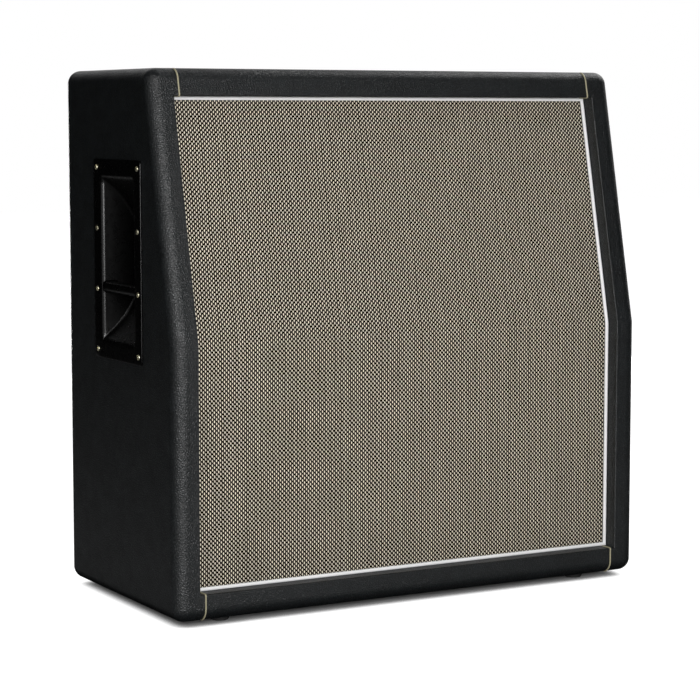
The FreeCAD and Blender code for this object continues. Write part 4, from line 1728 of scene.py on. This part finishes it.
@dataclass(frozen=True)
class HangingCard(SheenThing):
    """Square card that hangs over the cabinet; seen only in the cabinet's sheen, it paints a dark
    reflection there.

    Attributes:
        middle: Its middle.
        reach: From its middle to a side.
    """

    middle: Triple
    reach: float

    def form(self) -> BMesh:
        """Cuts the card.

        Returns:
            Its mesh.
        """
        bm = bmesh.new()
        bmesh.ops.create_grid(bm, x_segments=1, y_segments=1, size=self.reach,
                              matrix=Matrix.Translation(self.middle))
        return bm


@dataclass(frozen=True)
class DarkFloorReflection(SheenThing):
    """Black sheet on the floor round the cabinet; seen only in the cabinet's sheen, it paints a
    dark reflection of the floor.

    Attributes:
        hole: Half-width and half-depth of its hole.
        reach: Half-width and half-depth of the sheet.
        height: Its height over the floor.
    """

    hole: Pair
    reach: Pair
    height: float = 2.0 * MM

    def form(self) -> BMesh:
        """Spreads the sheet between its two outlines.

        Returns:
            Its mesh.
        """
        bm = bmesh.new()
        for x, y in (self.hole, self.reach):
            corners = [bm.verts.new((a * x, b * y, self.height))
                       for a, b in ((-1, -1), (1, -1), (1, 1), (-1, 1))]
            for pair in zip(corners, corners[1:] + corners[:1]):
                bm.edges.new(pair)
        bmesh.ops.bridge_loops(bm, edges=bm.edges[:])
        return bm


@dataclass(frozen=True)
class Glow(SheenThing):
    """Glowing strip over the floor, seen only in the cabinet's sheen: a painted reflection of
    pale floor that brightens the cabinet's lower faces and fades away from the cabinet.

    Attributes:
        axis: Index of the axis that it fades along.
        near: Where it is brightest on that axis.
        far: Where it has faded out.
        ends: Its two ends on the other axis.
        height: Its height over the floor.
        fall: How fast it fades.
        level: Its brightest level.
    """

    axis: int
    near: float
    far: float
    ends: Pair
    height: float
    fall: float
    level: float

    def form(self) -> BMesh:
        """Lays the strip.

        Returns:
            Its mesh.
        """
        bm = bmesh.new()
        corners, away = [], Vector((0, 0, 0))
        for end in self.ends:
            corner = Vector((0, 0, self.height))
            corner[self.axis], corner[1 - self.axis] = self.near, end
            corners.append(corner)
        away[self.axis] = self.far - self.near
        made = bmesh.ops.extrude_edge_only(bm, edges=chain(bm, corners))["geom"]
        bmesh.ops.translate(bm, verts=verts_in(made), vec=away)
        return bm

    def surface(self) -> Surface:
        """Paints the strip so that it glows less with its distance.

        Returns:
            Its surface.
        """
        surface = super().surface()
        axes = surface.node("ShaderNodeSeparateXYZ")
        surface.link(surface.place, axes.inputs["Vector"])
        fade = surface.fitted(axes.outputs[self.axis], start=self.far, end=self.near)
        level = surface.math("MULTIPLY", surface.math("POWER", fade, self.fall), self.level)
        surface.inputs["Emission Color"].default_value = (1, 1, 1, 1)
        surface.link(level, surface.inputs["Emission Strength"])
        return surface


# Black things paint dark reflections in the cabinet's sheen; the glowing strips paint pale
# reflections of the floor on its lower faces.
SHEEN_THINGS = (
    StandingCard("card_left", ((-0.3, 3.0), (-2.2, 2.6), (-3.0, 0.6), (-2.8, -0.6))),
    StandingCard("card_right", ((0.2, -3.8), (2.8, -2.4), (3.0, 0.6))),
    HangingCard("card_above", middle=(0.6, 0.2, 2.9), reach=3.4),
    DarkFloorReflection("floor_dark_reflection", hole=(0.34, 0.13), reach=(3.2, 3.6)),
    Glow("left_glow", axis=0, near=-0.40, far=-2.2, ends=(-2.4, 2.4), height=3.0 * MM,
         fall=3.5, level=0.17),
    Glow("front_glow", axis=1, near=-0.22, far=-2.2, ends=(-0.38, 2.6), height=4.0 * MM,
         fall=2.0, level=0.27),
)

LAMPS = (
    Lamp("key", (-1.2, -3.0, 0.95), (0.0, 0.0, 0.4), size=1.0, power=68.0),
    Lamp("rim", (0.4, 1.6, 2.4), (0.0, 0.0, 0.7), size=1.2, power=5.0),
    Lamp("back", (0.0, 2.8, 0.4), (0.0, 0.0, 0.4), size=0.6, power=14.0),
    Lamp("rear_right", (2.2, 2.4, 0.4), (0.2, 0.1, 0.4), size=0.6, power=14.0),
    Lamp("right", (2.0, 0.7, 2.3), (0.38, 0.0, 0.4), size=1.2, power=25.0),
)


@dataclass(frozen=True)
class Studio:
    """Pale floor, white surround, soft light and the camera of the photograph.

    Attributes:
        surround: Strength of the surround on diffuse surfaces.
        floor_reach: From the floor's middle to its sides.
        floor_grey: Level of the floor's grey.
        floor_rough: Roughness of the floor.
        floor_lift: Light that the floor adds towards the camera.
        contact: Reach of the shade round the cabinet's foot.
        contact_range: Openness of the floor at which that shade is full and is gone.
        eye: Place of the camera.
        yaw: Turn of the camera to the right.
        pitch: Turn of the camera downwards.
        lens: Focal length in millimetres.
    """

    surround: float = 0.33
    floor_reach: float = 12.0
    floor_grey: float = 0.5
    floor_rough: float = 0.9
    floor_lift: float = 0.97
    contact: float = 25.5 * MM
    contact_range: Pair = (0.1, 0.56)
    eye: Triple = (-1.6456, -2.9109, 0.6973)
    yaw: float = 29.375
    pitch: float = 5.982
    lens: float = 115.74

    def surround_light(self) -> None:
        """Makes the world white to look at and soft on the cabinet."""
        world = bpy.data.worlds.new("studio")
        world.use_nodes = True
        nodes = Nodes(world.node_tree)
        back = world.node_tree.nodes["Background"].inputs
        back["Color"].default_value = (1, 1, 1, 1)
        nodes.link(nodes.by_ray(self.surround, 1.0), back["Strength"])
        bpy.context.scene.world = world

    def floor(self) -> None:
        """Lays the floor, with a shade where little of it is open."""
        bm = bmesh.new()
        bmesh.ops.create_grid(bm, x_segments=1, y_segments=1, size=self.floor_reach)
        paint = Surface("floor_paint")
        paint.dull(self.floor_grey, self.floor_rough)
        openness = paint.node("ShaderNodeAmbientOcclusion")
        openness.inputs["Distance"].default_value = self.contact
        start, end = self.contact_range
        shade = paint.fitted(openness.outputs["AO"], start=start, end=end, kind="SMOOTHSTEP")
        paint.link(shade, paint.inputs["Emission Color"])
        paint.link(paint.by_ray(0.0, self.floor_lift), paint.inputs["Emission Strength"])
        object_from(bm, "floor", paint.material)

    def camera(self) -> None:
        """Stands the camera where the photograph was taken."""
        data = bpy.data.cameras.new("camera")
        data.lens = self.lens
        camera = linked("camera", data)
        camera.location = self.eye
        camera.rotation_euler = (radians(90 - self.pitch), 0, radians(-self.yaw))
        bpy.context.scene.camera = camera

    def build(self) -> None:
        """Sets up the studio."""
        bpy.context.scene.view_settings.view_transform = "Standard"
        self.surround_light()
        self.floor()
        for thing in (*SHEEN_THINGS, *LAMPS):
            thing.build()
        self.camera()
        LOG.info("studio set up")


def main() -> None:
    """Dresses the cabinet and sets up the studio."""
    logging.basicConfig(level=logging.INFO, format="%(name)s: %(message)s")
    palette = Palette(FINISHES)
    palette.dress_solids()
    form = CabinetForm.from_solids()
    Grille(form, palette).build()
    CornerFolds(form, palette).build()
    for side in Side:
        Handle(side, palette).build()
    for screws in (ScrewSet("handle_screws", "brass_screw", axis=0, recess=Recess.SLOT),
                   ScrewSet("rear_panel_screws", "black_screw", axis=1, recess=Recess.CROSS),
                   ScrewSet("dish_screws", "black_screw", axis=1, recess=Recess.CROSS)):
        screws.build(palette)
    Feet(palette).build()
    for joint in frame["record"]["behaviour"]["joints"]:
        Suspension(joint["child"].removesuffix("_diaphragm"), palette).build()
    Studio().build()


if __name__ == "__main__":
    main()
